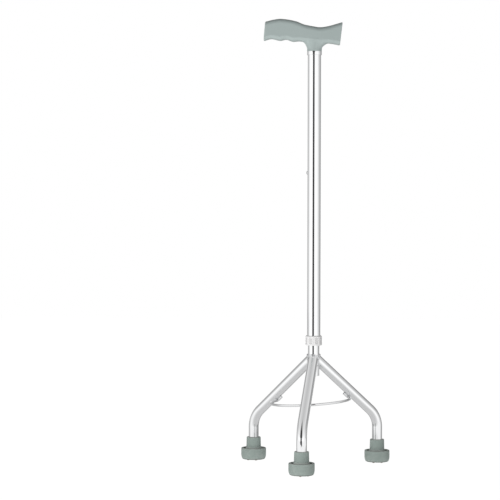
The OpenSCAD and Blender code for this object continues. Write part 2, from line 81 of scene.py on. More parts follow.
Output = bpy.types.NodeSocket
Input = Output | float | int | tuple
Span = tuple[float, float]
Colour = tuple[float, float, float]
Outline = list[tuple[float, float]]
Field = Callable[[np.ndarray], np.ndarray]


class Tread(Enum):
    """How a finish is worked into its surface."""

    DRAWN = "fine lines along a drawn and polished tube"
    MOULDED = "fine even grain of a moulding tool"
    CAST = "soft uneven surface of a weld or a casting"
    TURNED = "fine rings of a turned part"


# Node trees


def rgba(colour: Sequence[float]) -> tuple[float, ...]:
    """Returns a colour with an alpha of 1."""
    return (*colour[:3], 1.0)


def grey(shade: float) -> Colour:
    """Returns a grey."""
    return (shade,) * 3


@dataclass
class Graph:
    """A node tree being built, with short ways to add and join nodes."""

    tree: bpy.types.NodeTree

    def add(
            self, kind: str, inputs: dict[str | int, Input] | None = None,
            **settings: object) -> bpy.types.Node:
        """Adds a node.

        Args:
            kind: the node's type name.
            inputs: a value or an output for each input, by name or number.
            settings: properties of the node.

        Returns:
            The node.
        """
        node = self.tree.nodes.new(kind)
        for name, value in settings.items():
            setattr(node, name, value)
        for name, value in (inputs or {}).items():
            self.feed(node.inputs[name], value)
        return node

    def feed(self, socket: bpy.types.NodeSocket, value: Input) -> None:
        """Gives a socket its value.

        Args:
            socket: a node's input.
            value: the value, or the output that it comes from.
        """
        if isinstance(value, Output):
            self.tree.links.new(value, socket)
        else:
            socket.default_value = value

    def math(self, operation: str, *values: Input, clamp: bool = False) -> Output:
        """Adds one step of arithmetic and returns its output."""
        node = self.add("ShaderNodeMath", dict(enumerate(values)), operation=operation, use_clamp=clamp)
        return node.outputs[0]

    def vector(self, operation: str, *values: Input, out: int = 0) -> Output:
        """Adds one step of vector arithmetic and returns its output."""
        return self.add("ShaderNodeVectorMath", dict(enumerate(values)), operation=operation).outputs[out]

    def step(self, value: Input, low: float, high: float, out: Span = (0.0, 1.0)) -> Output:
        """Maps a value smoothly from low..high to the two ends of out."""
        inputs = {"Value": value, "From Min": low, "From Max": high, "To Min": out[0], "To Max": out[1]}
        return self.add("ShaderNodeMapRange", inputs, interpolation_type="SMOOTHSTEP").outputs[0]

    def mix(self, share: Input, first: Input, second: Input) -> Output:
        """Mixes two colours.

        Args:
            share: how much of the second colour there is.
            first: one colour.
            second: the other colour.

        Returns:
            The mixed colour.
        """
        node = self.add("ShaderNodeMix", data_type="RGBA")
        for name, value in (("Factor_Float", share), ("A_Color", first), ("B_Color", second)):
            socket = next(s for s in node.inputs if s.identifier == name)
            self.feed(socket, rgba(value) if isinstance(value, tuple) else value)
        return next(s for s in node.outputs if s.identifier == "Result_Color")

    def place(self) -> Output:
        """Returns the place on the object."""
        return self.add("ShaderNodeTexCoord").outputs["Object"]

    def parts(self, vector: Output) -> bpy.types.bpy_prop_collection:
        """Returns the outputs X, Y and Z of a vector."""
        return self.add("ShaderNodeSeparateXYZ", {0: vector}).outputs

    def noise(self, where: Output, scale: Input, detail: float) -> Output:
        """Adds a noise and returns its height."""
        return self.add("ShaderNodeTexNoise", {"Vector": where, "Scale": scale, "Detail": detail}).outputs[0]

    def patches(self, where: Output, scale: Input, detail: float, edges: Span) -> Output:
        """Returns a noise that is 0 below the first edge and 1 above the second."""
        return self.step(self.noise(where, scale, detail), *edges)


Given = dict[str, Output]
Recipe = Callable[[Graph, Given], Output]


def add_inputs(tree: bpy.types.NodeTree, inputs: dict[str, Input], triple: str) -> None:
    """Gives a tree its named inputs.

    Args:
        tree: the tree.
        inputs: the default value of each input.
        triple: the socket type of a value of three numbers.
    """
    kinds = {float: "NodeSocketFloat", int: "NodeSocketInt", tuple: triple}
    for label, value in inputs.items():
        kind = kinds[type(value)]
        socket = tree.interface.new_socket(label, in_out="INPUT", socket_type=kind)
        socket.default_value = rgba(value) if kind == "NodeSocketColor" else value


@dataclass(frozen=True)
class Effect:
    """An effect that finishes share: a shader node group with named inputs and one output."""

    name: str
    inputs: dict[str, Input]
    output: str
    build: Recipe

    def tree(self) -> bpy.types.NodeTree:
        """Builds the group once.

        Returns:
            The group.
        """
        if self.name in bpy.data.node_groups:
            return bpy.data.node_groups[self.name]
        tree = bpy.data.node_groups.new(self.name, "ShaderNodeTree")
        add_inputs(tree, self.inputs, "NodeSocketColor")
        kind = "NodeSocketColor" if self.output.endswith("Colour") else "NodeSocketFloat"
        tree.interface.new_socket(self.output, in_out="OUTPUT", socket_type=kind)
        graph = Graph(tree)
        given = graph.add("NodeGroupInput").outputs
        result = self.build(graph, {label: given[label] for label in self.inputs})
        graph.add("NodeGroupOutput", {self.output: result})
        return tree

    def put(self, graph: Graph, values: dict[str, Input]) -> Output:
        """Places the group among a material's nodes with its own values, and returns its output."""
        return graph.add("ShaderNodeGroup", values, node_tree=self.tree()).outputs[0]


def uneven_tone(graph: Graph, given: Given) -> Output:
    """Drifts slowly between two colours.

    Args:
        graph: the group's nodes.
        given: Colour, Shade, and the Scale and Amount of the drift.

    Returns:
        The toned colour.
    """
    patches = graph.patches(graph.place(), given["Scale"], detail=3.0, edges=(0.3, 0.7))
    share = graph.math("MULTIPLY", patches, given["Amount"])
    return graph.mix(share, given["Colour"], given["Shade"])


def handled_roughness(graph: Graph, given: Given) -> Output:
    """Varies the roughness in soft smears, as handling and wiping leave it.

    Args:
        graph: the group's nodes.
        given: the smears' Scale, and the Low and High roughness.

    Returns:
        The roughness.
    """
    drawn_out = (1.0, 1.0, 0.35)
    where = graph.vector("MULTIPLY", graph.place(), drawn_out)
    smears = graph.patches(where, given["Scale"], detail=4.0, edges=(0.42, 0.72))
    spread = graph.math("SUBTRACT", given["High"], given["Low"])
    return graph.math("ADD", given["Low"], graph.math("MULTIPLY", smears, spread))


def lay_dust_and_painted_light(graph: Graph, given: Given) -> Output:
    """Lays dust in patches over the lowest part of a piece. It also paints a highlight in the dust's
    colour on the piece's upward ledges, and paints shade along the edge that treads the floor.

    Args:
        graph: the group's nodes.
        given: Colour, the colour of the dust and of the painted highlight, the colour of the painted
            shade, and the Top and Amount of the dust in patches.

    Returns:
        The colour with the dust, the painted highlight and the painted shade.
    """
    # the lowest few millimetres darken towards the floor: painted shade where the foot meets it
    contact_shade_heights, contact_shade_share = (2.6 * MM, 4.6 * MM), 0.75
    # upward ledges at the rim's height take the dust's colour evenly: a painted highlight
    lit_ledge_heights, lit_ledge_normals, ledge_highlight_share = (15.5 * MM, 18 * MM), (0.15, 0.7), 0.8
    where = graph.place()
    height = graph.parts(where)["Z"]
    patches = graph.patches(where, scale=160.0, detail=5.0, edges=(0.35, 0.7))
    reach = graph.math("DIVIDE", graph.math("SUBTRACT", given["Top"], height), given["Top"], clamp=True)
    low = graph.math("MULTIPLY", graph.math("MULTIPLY", reach, patches), given["Amount"])
    normal = graph.parts(graph.add("ShaderNodeNewGeometry").outputs["Normal"])["Z"]
    # painted highlight on the upward ledges
    painted_ledge_highlight = graph.math("MULTIPLY", graph.step(normal, *lit_ledge_normals), graph.step(height, *lit_ledge_heights))
    share = graph.math("MAXIMUM", low, graph.math("MULTIPLY", painted_ledge_highlight, ledge_highlight_share))
    dusty_and_lit = graph.mix(share, given["Colour"], given["Dust And Highlight"])
    # painted shade along the lowest edge, over the dust and the highlight
    return graph.mix(graph.step(height, *contact_shade_heights, (contact_shade_share, 0.0)), dusty_and_lit, given["Contact Shade"])


UNEVEN_TONE = Effect(
    "uneven_tone", {"Colour": grey(0.5), "Shade": grey(0.4), "Scale": 10.0, "Amount": 0.5},
    "Toned Colour", uneven_tone)
HANDLED_ROUGHNESS = Effect(
    "handled_roughness", {"Scale": 40.0, "Low": 0.1, "High": 0.2}, "Roughness", handled_roughness)
# dust in patches, with a painted highlight on ledges and painted shade along the tread
DUST_AND_PAINTED_LIGHT = Effect(
    "lay_dust_and_painted_light",
    {"Colour": grey(0.5), "Dust And Highlight": (0.58, 0.61, 0.58), "Contact Shade": (0.13, 0.145, 0.135), "Top": 0.03,
     "Amount": 0.5},
    "Dust And Painted Light Colour", lay_dust_and_painted_light)


# Finishes


@dataclass(frozen=True)
class Finish:
    """One finish of the cane: its colours, gloss and surface."""

    name: str
    slot: str
    colour: Colour
    shade: Colour
    tread: Tread
    metallic: float = 0.0
    gloss: Span = (0.4, 0.5)
    depth: float = 0.02 * MM
    scale: float = 900.0
    tone_scale: float = 14.0
    tone: float = 0.5
    # amount of dust in patches; any amount also brings the painted ledge highlight and the painted shade
    # along the tread
    dust_and_painted_light: float = 0.0
    parting_line: float | None = None
    # darker colour mixed in where a piece is pressed in: painted shade in its recesses
    painted_grip_shade: Colour | None = None

    def height(self, graph: Graph) -> Output:
        """Makes the surface's own texture, along the straightened tube where it is drawn.

        Args:
            graph: the material's nodes.

        Returns:
            Its height, as a share of the finish's depth.
        """
        if self.tread is Tread.DRAWN:
            straight = graph.add("ShaderNodeAttribute", attribute_name="straight").outputs["Vector"]
            drawn_out = (1.0, 1.0, 0.02)
            return graph.noise(graph.vector("MULTIPLY", straight, drawn_out), self.scale, detail=2.0)
        where = graph.place()
        if self.tread is not Tread.MOULDED:
            return graph.noise(where, self.scale, detail=1.0 if self.tread is Tread.TURNED else 4.0)
        waves, wave_height = 0.4 * self.scale, 0.6
        cells = graph.add("ShaderNodeTexVoronoi", {"Vector": where, "Scale": self.scale}, feature="SMOOTH_F1")
        noise = graph.noise(where, waves, detail=3.0)
        return graph.math("MULTIPLY_ADD", noise, wave_height, cells.outputs["Distance"])

    def with_parting_line(self, graph: Graph, height: Output) -> Output:
        """Adds the thin ridge where the halves of the mould met, across the depth of the piece.

        Args:
            graph: the material's nodes.
            height: the height of the surface without it.

        Returns:
            The height with it.
        """
        ridge, ridge_edges = 4.0, (0.1 * MM, 0.45 * MM)
        depth = graph.parts(graph.place())["Y"]
        off = graph.math("ABSOLUTE", graph.math("SUBTRACT", depth, self.parting_line))
        return graph.math("ADD", height, graph.step(off, *ridge_edges, (ridge, 0.0)))

    def material(self) -> bpy.types.Material:
        """Builds the finish's material once.

        Returns:
            The material.
        """
        if self.name in bpy.data.materials:
            return bpy.data.materials[self.name]
        made = bpy.data.materials.new(self.name)
        made.use_nodes = True
        graph = Graph(made.node_tree)
        colour = UNEVEN_TONE.put(graph, {
            "Colour": rgba(self.colour), "Shade": rgba(self.shade), "Scale": self.tone_scale,
            "Amount": self.tone})
        # dust, a painted highlight on ledges and painted shade along the tread
        if self.dust_and_painted_light:
            colour = DUST_AND_PAINTED_LIGHT.put(graph, {"Colour": colour, "Amount": self.dust_and_painted_light})
        # painted shade in the pressed grips
        if self.painted_grip_shade:
            pressed = graph.add("ShaderNodeAttribute", attribute_name="pressed").outputs["Fac"]
            colour = graph.mix(pressed, colour, self.painted_grip_shade)
        height = self.height(graph)
        if self.parting_line is not None:
            height = self.with_parting_line(graph, height)
        bump = graph.add("ShaderNodeBump", {"Height": height, "Strength": 1.0, "Distance": self.depth})
        roughness = HANDLED_ROUGHNESS.put(graph, dict(zip(("Low", "High"), self.gloss)))
        surface = made.node_tree.nodes["Principled BSDF"].inputs
        for label, value in (("Base Color", colour), ("Roughness", roughness), ("Normal", bump.outputs[0]),
                             ("Metallic", self.metallic)):
            graph.feed(surface[label], value)
        return made


CHROME = Finish(
    "polished_chrome", "chrome", (0.90, 0.905, 0.91), (0.86, 0.865, 0.875), Tread.DRAWN,
    metallic=1.0, gloss=(0.035, 0.075), depth=0.0006 * MM, scale=2200.0, tone=0.6)
PLATED_WELD = Finish(
    "plated_weld", "weld", (0.80, 0.81, 0.82), (0.66, 0.66, 0.66), Tread.CAST,
    metallic=1.0, gloss=(0.12, 0.22), depth=0.01 * MM, scale=500.0)
GREEN_PLASTIC = Finish(
    "grey_green_plastic", "handle_plastic", (0.417, 0.484, 0.472), (0.386, 0.453, 0.441), Tread.MOULDED,
    gloss=(0.40, 0.52), depth=0.012 * MM, scale=2600.0, tone=0.5,
    parting_line=sum(point.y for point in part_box("handle")) / 2)
GREEN_RUBBER = Finish(
    "grey_green_rubber", "foot_rubber", (0.382, 0.456, 0.422), (0.334, 0.403, 0.373), Tread.MOULDED,
    gloss=(0.55, 0.72), depth=0.03 * MM, scale=1500.0, tone_scale=60.0, tone=0.7, dust_and_painted_light=0.35)
# its darker grip colour is painted shade in the pressed finger grips
FROSTED_PLASTIC = Finish(
    "frosted_plastic", "collar_plastic", (0.95, 0.945, 0.945), (0.91, 0.905, 0.905), Tread.MOULDED,
    gloss=(0.32, 0.42), depth=0.0015 * MM, scale=900.0, tone=0.4, painted_grip_shade=(0.77, 0.765, 0.765))
PALE_PLASTIC = Finish(
    "pale_bush_plastic", "bush_plastic", (0.80, 0.80, 0.78), (0.72, 0.72, 0.70), Tread.MOULDED)
BLACK_PLASTIC = Finish(
    "black_guide_plastic", "guide_plastic", (0.03, 0.03, 0.032), (0.05, 0.05, 0.05), Tread.MOULDED)
BRIGHT_STEEL = Finish(
    "turned_bright_steel", "button_steel", (0.74, 0.74, 0.75), (0.62, 0.62, 0.63), Tread.TURNED,
    metallic=1.0, gloss=(0.14, 0.24), depth=0.004 * MM, scale=1400.0)
BLUED_STEEL = Finish(
    "blued_spring_steel", "spring_steel", (0.26, 0.29, 0.34), (0.36, 0.35, 0.36), Tread.TURNED,
    metallic=1.0, gloss=(0.25, 0.4), depth=0.004 * MM)
ZINC_STEEL = Finish(
    "zinc_plated_steel", "steel", (0.56, 0.57, 0.58), (0.45, 0.45, 0.46), Tread.CAST,
    metallic=1.0, gloss=(0.28, 0.42), depth=0.01 * MM)
STUD_STEEL = Finish(
    "brown_stud_steel", "stud_steel", (0.50, 0.41, 0.37), (0.33, 0.26, 0.23), Tread.TURNED,
    metallic=1.0, gloss=(0.25, 0.42), depth=0.008 * MM, scale=1500.0, tone_scale=120.0, tone=0.8)


# Meshes


def polar(radius: float, turn: float, height: float) -> Vector:
    """Returns the point at a distance from the Z axis, a turn about it and a height."""
    return Vector((radius * cos(turn), radius * sin(turn), height))


def in_scene(name: str, data: bpy.types.ID) -> bpy.types.Object:
    """Makes an object and links it into the scene.

    Args:
        name: its name.
        data: its mesh, camera or light.

    Returns:
        The object.
    """
    made = bpy.data.objects.new(name, data)
    bpy.context.scene.collection.objects.link(made)
    return made


def store_straight(mesh: bpy.types.Mesh, places: Iterable[Vector]) -> None:
    """Stores each point's place on the piece before it was bent.

    Args:
        mesh: the mesh.
        places: the places, in the order of its points.
    """
    if "straight" in mesh.attributes:
        mesh.attributes.remove(mesh.attributes["straight"])
    straight = mesh.attributes.new("straight", "FLOAT_VECTOR", "POINT")
    straight.data.foreach_set("vector", [value for place in places for value in place])


@dataclass(frozen=True)
class Corner:
    """A corner of an outline, and the radius it is rounded to."""

    x: float
    z: float
    radius: float = 0.0


def rounded(corners: Sequence[Corner], steps: int = 5) -> Outline:
    """Rounds the corners of a closed outline.

    Args:
        corners: the corners in order.
        steps: pieces of curve at each rounded corner.

    Returns:
        The points of the rounded outline.
    """
    share_of_side = 0.49
    points: Outline = []
    for i, corner in enumerate(corners):
        here = Vector((corner.x, corner.z))
        beside = (corners[i - 1], corners[(i + 1) % len(corners)])
        before, after = (Vector((other.x, other.z)) - here for other in beside)
        if not corner.radius:
            points.append((corner.x, corner.z))
            continue
        half = before.angle(after) / 2
        reach = min(corner.radius / tan(half), before.length * share_of_side, after.length * share_of_side)
        start, end = here + before.normalized() * reach, here + after.normalized() * reach
        for k in range(steps + 1):
            t = k / steps
            point = start * (1 - t) ** 2 + here * 2 * t * (1 - t) + end * t ** 2
            points.append((point.x, point.y))
    return points


@dataclass
class MeshDraft:
    """Points and faces of a mesh, with each point's place on the piece before it was bent."""

    points: list[Vector] = field(default_factory=list)
    straight: list[Vector] = field(default_factory=list)
    faces: list[tuple[int, ...]] = field(default_factory=list)

    def ring(self, points: Sequence[Vector], straight: Sequence[Vector] | None = None) -> list[int]:
        """Adds points.

        Args:
            points: their places.
            straight: their places before the piece was bent, if it was.

        Returns:
            Their numbers.
        """
        first = len(self.points)
        self.points.extend(points)
        self.straight.extend(straight or points)
        return list(range(first, len(self.points)))

    def bridge(self, low: Sequence[int], high: Sequence[int]) -> None:
        """Joins two rings with quads, or with triangles where one is a single point.

        Args:
            low: the numbers of one ring's points.
            high: the numbers of the other's.
        """
        count = max(len(low), len(high))
        if count == 1:
            return
        for i in range(count):
            j = (i + 1) % count
            if len(low) == 1:
                self.faces.append((low[0], high[j], high[i]))
            elif len(high) == 1:
                self.faces.append((low[i], low[j], high[0]))
            else:
                self.faces.append((low[i], low[j], high[j], high[i]))

    def chain(self, rings: Sequence[Sequence[int]], around: bool = False) -> None:
        """Joins rings in their order.

        Args:
            rings: the numbers of each ring's points.
            around: whether the last ring is joined to the first.
        """
        for low, high in zip(rings, rings[1:]):
            self.bridge(low, high)
        if around:
            self.bridge(rings[-1], rings[0])

    def piece(self, name: str, finish: Finish, place: Matrix | None = None) -> bpy.types.Object:
        """Makes the object.

        Args:
            name: the piece's name.
            finish: the finish it wears.
            place: moves the points to their place in the frame.

        Returns:
            The object, with its place in its mesh.
        """
        mesh = bpy.data.meshes.new(name)
        mesh.from_pydata([place @ p if place else p for p in self.points], [], self.faces)
        store_straight(mesh, self.straight)
        mesh.shade_smooth()
        mesh.set_sharp_from_angle(angle=SHARP_ANGLE)
        mesh.materials.append(finish.material())
        return in_scene(name, mesh)


def revolved(outline: Outline, sides: int = 96) -> MeshDraft:
    """Turns a closed outline about the Z axis.

    Args:
        outline: distance from the axis and height of each point, counterclockwise.
        sides: number of points in each ring.

    Returns:
        The draft of the solid of revolution.
    """
    draft = MeshDraft()
    rings = []
    for radius, height in outline:
        turns = [FULL_TURN * k / sides for k in range(sides if radius > SAME_PLACE else 1)]
        rings.append(draft.ring([polar(radius, turn, height) for turn in turns]))
    draft.chain(rings, around=True)
    return draft


@dataclass(frozen=True)
class Hole:
    """A round hole through a tube's wall, at a turn about its axis and a height."""

    turn: float
    height: float
    radius: float


@dataclass
class HoledTube:
    """A straight tube along Z with round holes through its wall and broken edges.

    Each face of its wall is a grid of columns and rows, and each hole is cut from a patch of it.
    """

    axis: Vector
    outer: float
    wall: float
    low: float
    high: float
    holes: list[Hole]
    edge: float = 0.22 * MM
    columns: int = 144
    patch_rows: int = 8
    patch_reach: float = 1.5

    def __post_init__(self) -> None:
        """Works out the bore's radius and the turn from one column to the next."""
        self.inner = self.outer - self.wall
        self.step = FULL_TURN / self.columns

    def patch(self, hole: Hole) -> tuple[int, int, list[float]]:
        """Lays out the patch of wall that a hole is cut from.

        Args:
            hole: the hole.

        Returns:
            Its first and its last column, and the heights of its rows.
        """
        half = self.patch_reach * hole.radius
        middle, half_width = round(hole.turn / self.step), ceil(half / (self.outer * self.step))
        rows = [hole.height + half * (2 * k / self.patch_rows - 1) for k in range(self.patch_rows + 1)]
        return middle - half_width, middle + half_width, rows

    def build(self) -> MeshDraft:
        """Builds both faces of the wall, the hole walls between them and the two ends.

        Returns:
            The draft, in the frame's place.
        """
        draft = MeshDraft()
        heights = {self.low + self.edge, self.high - self.edge}
        for hole in self.holes:
            heights.update(self.patch(hole)[2])
        heights = sorted(heights)
        turns = [self.step * c for c in range(self.columns)]
        grids = [[draft.ring([polar(r, a, z) for a in turns]) for z in heights]
                 for r in (self.outer, self.inner)]
        cut = set()
        for hole in self.holes:
            left, right, own_heights = self.patch(hole)
            own = [heights.index(z) for z in own_heights]
            cut.update((row, column % self.columns) for row in own[:-1] for column in range(left, right))
            border = [(own[0], c) for c in range(left, right)] + [(r, right) for r in own[:-1]]
            border += [(own[-1], c) for c in range(right, left, -1)] + [(r, left) for r in own[:0:-1]]
            places = [(self.step * c, heights[r]) for r, c in border]
            borders = [[grid[r][c % self.columns] for r, c in border] for grid in grids]
            self.cut_hole(draft, hole, places, borders)
        for row in range(len(heights) - 1):
            for column in range(self.columns):
                if (row, column) in cut:
                    continue
                after = (column + 1) % self.columns
                for grid, way in zip(grids, (1, -1)):
                    below, above = grid[row], grid[row + 1]
                    draft.faces.append((below[column], below[after], above[after], above[column])[::way])
        for height, row, way in ((self.low, 0, 1), (self.high, -1, -1)):
            lips = [draft.ring([polar(r, a, height) for a in turns])
                    for r in (self.inner + self.edge, self.outer - self.edge)]
            draft.chain([grids[1][row], *lips, grids[0][row]][::way])
        draft.points = [point + self.axis for point in draft.points]
        return draft

    def cut_hole(self, draft: MeshDraft, hole: Hole, places: Outline, borders: list[list[int]]) -> None:
        """Fills a patch with rings that close in on its hole, outside and inside, and joins the
        two through the wall.

        Args:
            draft: the draft to add to.
            hole: the hole.
            places: turn and height of the points on the patch's border.
            borders: the numbers of these points on the outer and on the inner face.
        """
        aims = [atan2(z - hole.height, self.outer * (a - hole.turn)) for a, z in places]

        def rim(radius: float, surface: float) -> Outline:
            """Turn and height of the points of a circle about the hole, on a radius of the wall."""
            return [(hole.turn + asin(radius * cos(aim) / surface), hole.height + radius * sin(aim))
                    for aim in aims]

        def ring(spots: Outline, surface: float) -> list[int]:
            """Adds a ring of points on a radius of the wall."""
            return draft.ring([polar(surface, a, z) for a, z in spots])

        def between(surface: float, shares: Sequence[float]) -> list[list[int]]:
            """Adds rings between the hole's rim and the patch's border."""
            pairs = list(zip(rim(hole.radius + self.edge, surface), places))
            return [ring([(a + (b - a) * t, z + (y - z) * t) for (a, z), (b, y) in pairs], surface)
                    for t in shares]

        shares = (0.6, 0.25, 0.0)
        rings = [borders[0], *between(self.outer, shares)]
        rings += [ring(rim(hole.radius, r), r) for r in (self.outer - self.edge, self.inner + self.edge)]
        rings += [*between(self.inner, shares[::-1]), borders[1]]
        draft.chain(rings)


# Smooth solids, given by a field that is a distance outside them and below zero inside


def through(points: Sequence[tuple[float, float]], x: np.ndarray) -> np.ndarray:
    """Runs a piecewise cubic through points, with each slope taken from the two neighbours.

    Args:
        points: place and height of each point, in order.
        x: the places to read the curve at.

    Returns:
        The heights.
    """
    at, up = np.array(points).T
    numbers, last = np.arange(len(at)), len(at) - 1
    before, after = np.clip(numbers - 1, 0, None), np.clip(numbers + 1, None, last)
    slope = (up[after] - up[before]) / (at[after] - at[before])
    i = np.clip(np.searchsorted(at, x, side="right") - 1, 0, last - 1)
    width = at[i + 1] - at[i]
    t = np.clip((x - at[i]) / width, 0.0, 1.0)
    value = (2 * t ** 3 - 3 * t ** 2 + 1) * up[i] + (t ** 3 - 2 * t ** 2 + t) * width * slope[i]
    return value + (3 * t ** 2 - 2 * t ** 3) * up[i + 1] + (t ** 3 - t ** 2) * width * slope[i + 1]


def both(first: np.ndarray, second: np.ndarray, radius: float | np.ndarray) -> np.ndarray:
    """Returns the field of what two solids share, with its edge rounded to a radius."""
    corner = np.hypot(np.maximum(first + radius, 0.0), np.maximum(second + radius, 0.0))
    return np.minimum(np.maximum(first, second), -radius) + corner


def either(first: np.ndarray, second: np.ndarray, radius: float) -> np.ndarray:
    """Returns the field of two solids together, with the corner between them filled to a radius."""
    return -both(-first, -second, radius)


@dataclass
class SurfaceNet:
    """A net of quads laid over the surface where a field is zero."""

    field: Field
    low: Vector
    high: Vector
    pitch: float
    probes_in_pitch: int = 20
    rounds: int = 5
    least_slope_squared: float = 0.05

    def build(self) -> MeshDraft:
        """Puts a point into each cell that the surface crosses and joins the points of the four
        cells round each crossed edge.

        Returns:
            The draft of the closed surface.
        """
        axes = [np.arange(low, high + self.pitch, self.pitch) for low, high in zip(self.low, self.high)]
        places = np.stack(np.meshgrid(*axes, indexing="ij"), -1)
        values = self.field(places)
        cells = tuple(n - 1 for n in values.shape)
        total, count = np.zeros((*cells, 3)), np.zeros(cells)
        crossings = []
        for axis in range(3):
            here, there = (np.arange(k, cells[axis] + k) for k in (0, 1))
            first, second = (values.take(side, axis) for side in (here, there))
            crossed = (first < 0) != (second < 0)
            share = np.where(crossed, first / np.where(crossed, first - second, 1.0), 0.0)[..., None]
            start, end = places.take(here, axis), places.take(there, axis)
            spots = start + (end - start) * share
            others = [k for k in range(3) if k != axis]
            for shift in ((0, 0), (0, 1), (1, 0), (1, 1)):
                window = [slice(0, cells[k]) for k in range(3)]
                for other, step in zip(others, shift):
                    window[other] = slice(step, cells[other] + step)
                part = crossed[tuple(window)]
                total += spots[tuple(window)] * part[..., None]
                count += part
            crossings.append((axis, np.argwhere(crossed), first))
        number = np.full(cells, -1)
        used = count > 0
        number[used] = np.arange(used.sum())
        points = [Vector(point) for point in self.settled(total[used] / count[used][:, None])]
        draft = MeshDraft(points, list(points))
        for axis, edges, first in crossings:
            draft.faces.extend(self.quads(axis, edges, first, number))
        return draft

    def quads(self, axis: int, edges: np.ndarray, first: np.ndarray, number: np.ndarray) -> list[tuple]:
        """Lays a quad round each crossed edge along an axis.

        Args:
            axis: the axis.
            edges: the grid places of the crossed edges.
            first: the field at the start of each edge along the axis.
            number: the number of each cell's point.

        Returns:
            The quads, facing out of the solid.
        """
        one, two = ((axis + 1) % 3, (axis + 2) % 3)
        corners = []
        for back_one, back_two in ((1, 1), (0, 1), (0, 0), (1, 0)):
            cell = edges.copy()
            cell[:, one] -= back_one
            cell[:, two] -= back_two
            corners.append(number[tuple(cell.T)])
        quads = np.stack(corners, 1)
        leaving = first[tuple(edges.T)] < 0
        quads[~leaving] = quads[~leaving][:, ::-1]
        return [tuple(quad) for quad in quads.tolist()]

    def settled(self, points: np.ndarray) -> np.ndarray:
        """Moves points along the field's slope until they lie on the surface.

        Args:
            points: the points.

        Returns:
            The moved points.
        """
        probe = self.pitch / self.probes_in_pitch
        for _ in range(self.rounds):
            slope = np.stack([
                self.field(points + probe * way) - self.field(points - probe * way)
                for way in np.eye(3)], -1)
            slope /= 2 * probe
            square = np.maximum((slope ** 2).sum(-1), self.least_slope_squared)
            points = points - slope * (self.field(points) / square)[:, None]
        return points


# Geometry trees


@dataclass
class GeometryTree:
    """A geometry node tree with named inputs, worn by pieces as a modifier."""

    name: str
    inputs: dict[str, Input]
    build: Recipe

    def tree(self) -> bpy.types.NodeTree:
        """Builds the tree once.

        Returns:
            The tree.
        """
        if self.name in bpy.data.node_groups:
            return bpy.data.node_groups[self.name]
        tree = bpy.data.node_groups.new(self.name, "GeometryNodeTree")
        tree.interface.new_socket("Geometry", in_out="INPUT", socket_type="NodeSocketGeometry")
        add_inputs(tree, self.inputs, "NodeSocketVector")
        tree.interface.new_socket("Material", in_out="INPUT", socket_type="NodeSocketMaterial")
        tree.interface.new_socket("Geometry", in_out="OUTPUT", socket_type="NodeSocketGeometry")
        graph = Graph(tree)
        given = {s.name: s for s in graph.add("NodeGroupInput").outputs if s.name}
        whole = graph.add("GeometryNodeRealizeInstances", {"Geometry": self.build(graph, given)})
        smooth = graph.add("GeometryNodeSetShadeSmooth", {"Geometry": whole.outputs[0]})
        worn = {"Geometry": smooth.outputs[0], "Material": given["Material"]}
        dressed = graph.add("GeometryNodeSetMaterial", worn)
        graph.add("NodeGroupOutput", {"Geometry": dressed.outputs[0]})
        return tree

    def apply(self, piece: bpy.types.Object, finish: Finish, values: dict[str, Input | Vector]) -> None:
        """Runs the tree on a piece and keeps the result as its plain mesh.

        Args:
            piece: the object whose mesh goes in.
            finish: the finish the result wears.
            values: a value for each named input.
        """
        modifier = piece.modifiers.new(self.name, "NODES")
        modifier.node_group = self.tree()
        sockets = {s.name: s.identifier for s in self.tree().interface.items_tree if s.in_out == "INPUT"}
        for label, value in {**values, "Material": finish.material()}.items():
            modifier[sockets[label]] = list(value) if isinstance(value, Vector) else value
        settle(piece)
        face_outwards(piece.data)
        piece.data.set_sharp_from_angle(angle=SHARP_ANGLE)


def settle(piece: bpy.types.Object) -> None:
    """Turns a piece's modifiers into its plain mesh.

    Args:
        piece: the piece.
    """
    graph = bpy.context.evaluated_depsgraph_get()
    made = bpy.data.meshes.new_from_object(
        piece.evaluated_get(graph), preserve_all_data_layers=True, depsgraph=graph)
    piece.modifiers.clear()
    piece.data = made


def face_outwards(mesh: bpy.types.Mesh) -> None:
    """Merges double points and turns the faces of each closed shell outwards.

    Args:
        mesh: the mesh.
    """
    sketch = bmesh.new()
    sketch.from_mesh(mesh)
    bmesh.ops.remove_doubles(sketch, verts=sketch.verts, dist=SAME_PLACE)
    bmesh.ops.recalc_face_normals(sketch, faces=sketch.faces)
    sketch.to_mesh(mesh)
    sketch.free()


def edge_path(name: str, points: Sequence[Vector], closed: bool = False) -> bpy.types.Object:
    """Makes an object of bare edges along a path.

    Args:
        name: its name.
        points: the corners of the path.
        closed: whether the last corner is joined to the first.

    Returns:
        The object.
    """
    mesh = bpy.data.meshes.new(name)
    count = len(points)
    mesh.from_pydata(points, [(i, (i + 1) % count) for i in range(count if closed else count - 1)], [])
    return in_scene(name, mesh)


def resampled(graph: Graph, path: Output, steps: Output) -> Output:
    """Divides a curve into even steps and returns it."""
    return graph.add("GeometryNodeResampleCurve", {"Curve": path, "Count": steps}).outputs[0]


def swept(graph: Graph, path: Output, radius: Output, sides: int, **more: Input) -> Output:
    """Sweeps a round section along a curve, with its ends closed.

    Args:
        graph: the tree's nodes.
        path: the curve.
        radius: the section's radius.
        sides: the points round it.
        more: further inputs of the sweep.

    Returns:
        The mesh.
    """
    profile = graph.add("GeometryNodeCurvePrimitiveCircle", {"Resolution": sides, "Radius": radius})
    sweep = {"Curve": path, "Profile Curve": profile.outputs[0], "Fill Caps": True, **more}
    return graph.add("GeometryNodeCurveToMesh", sweep).outputs[0]


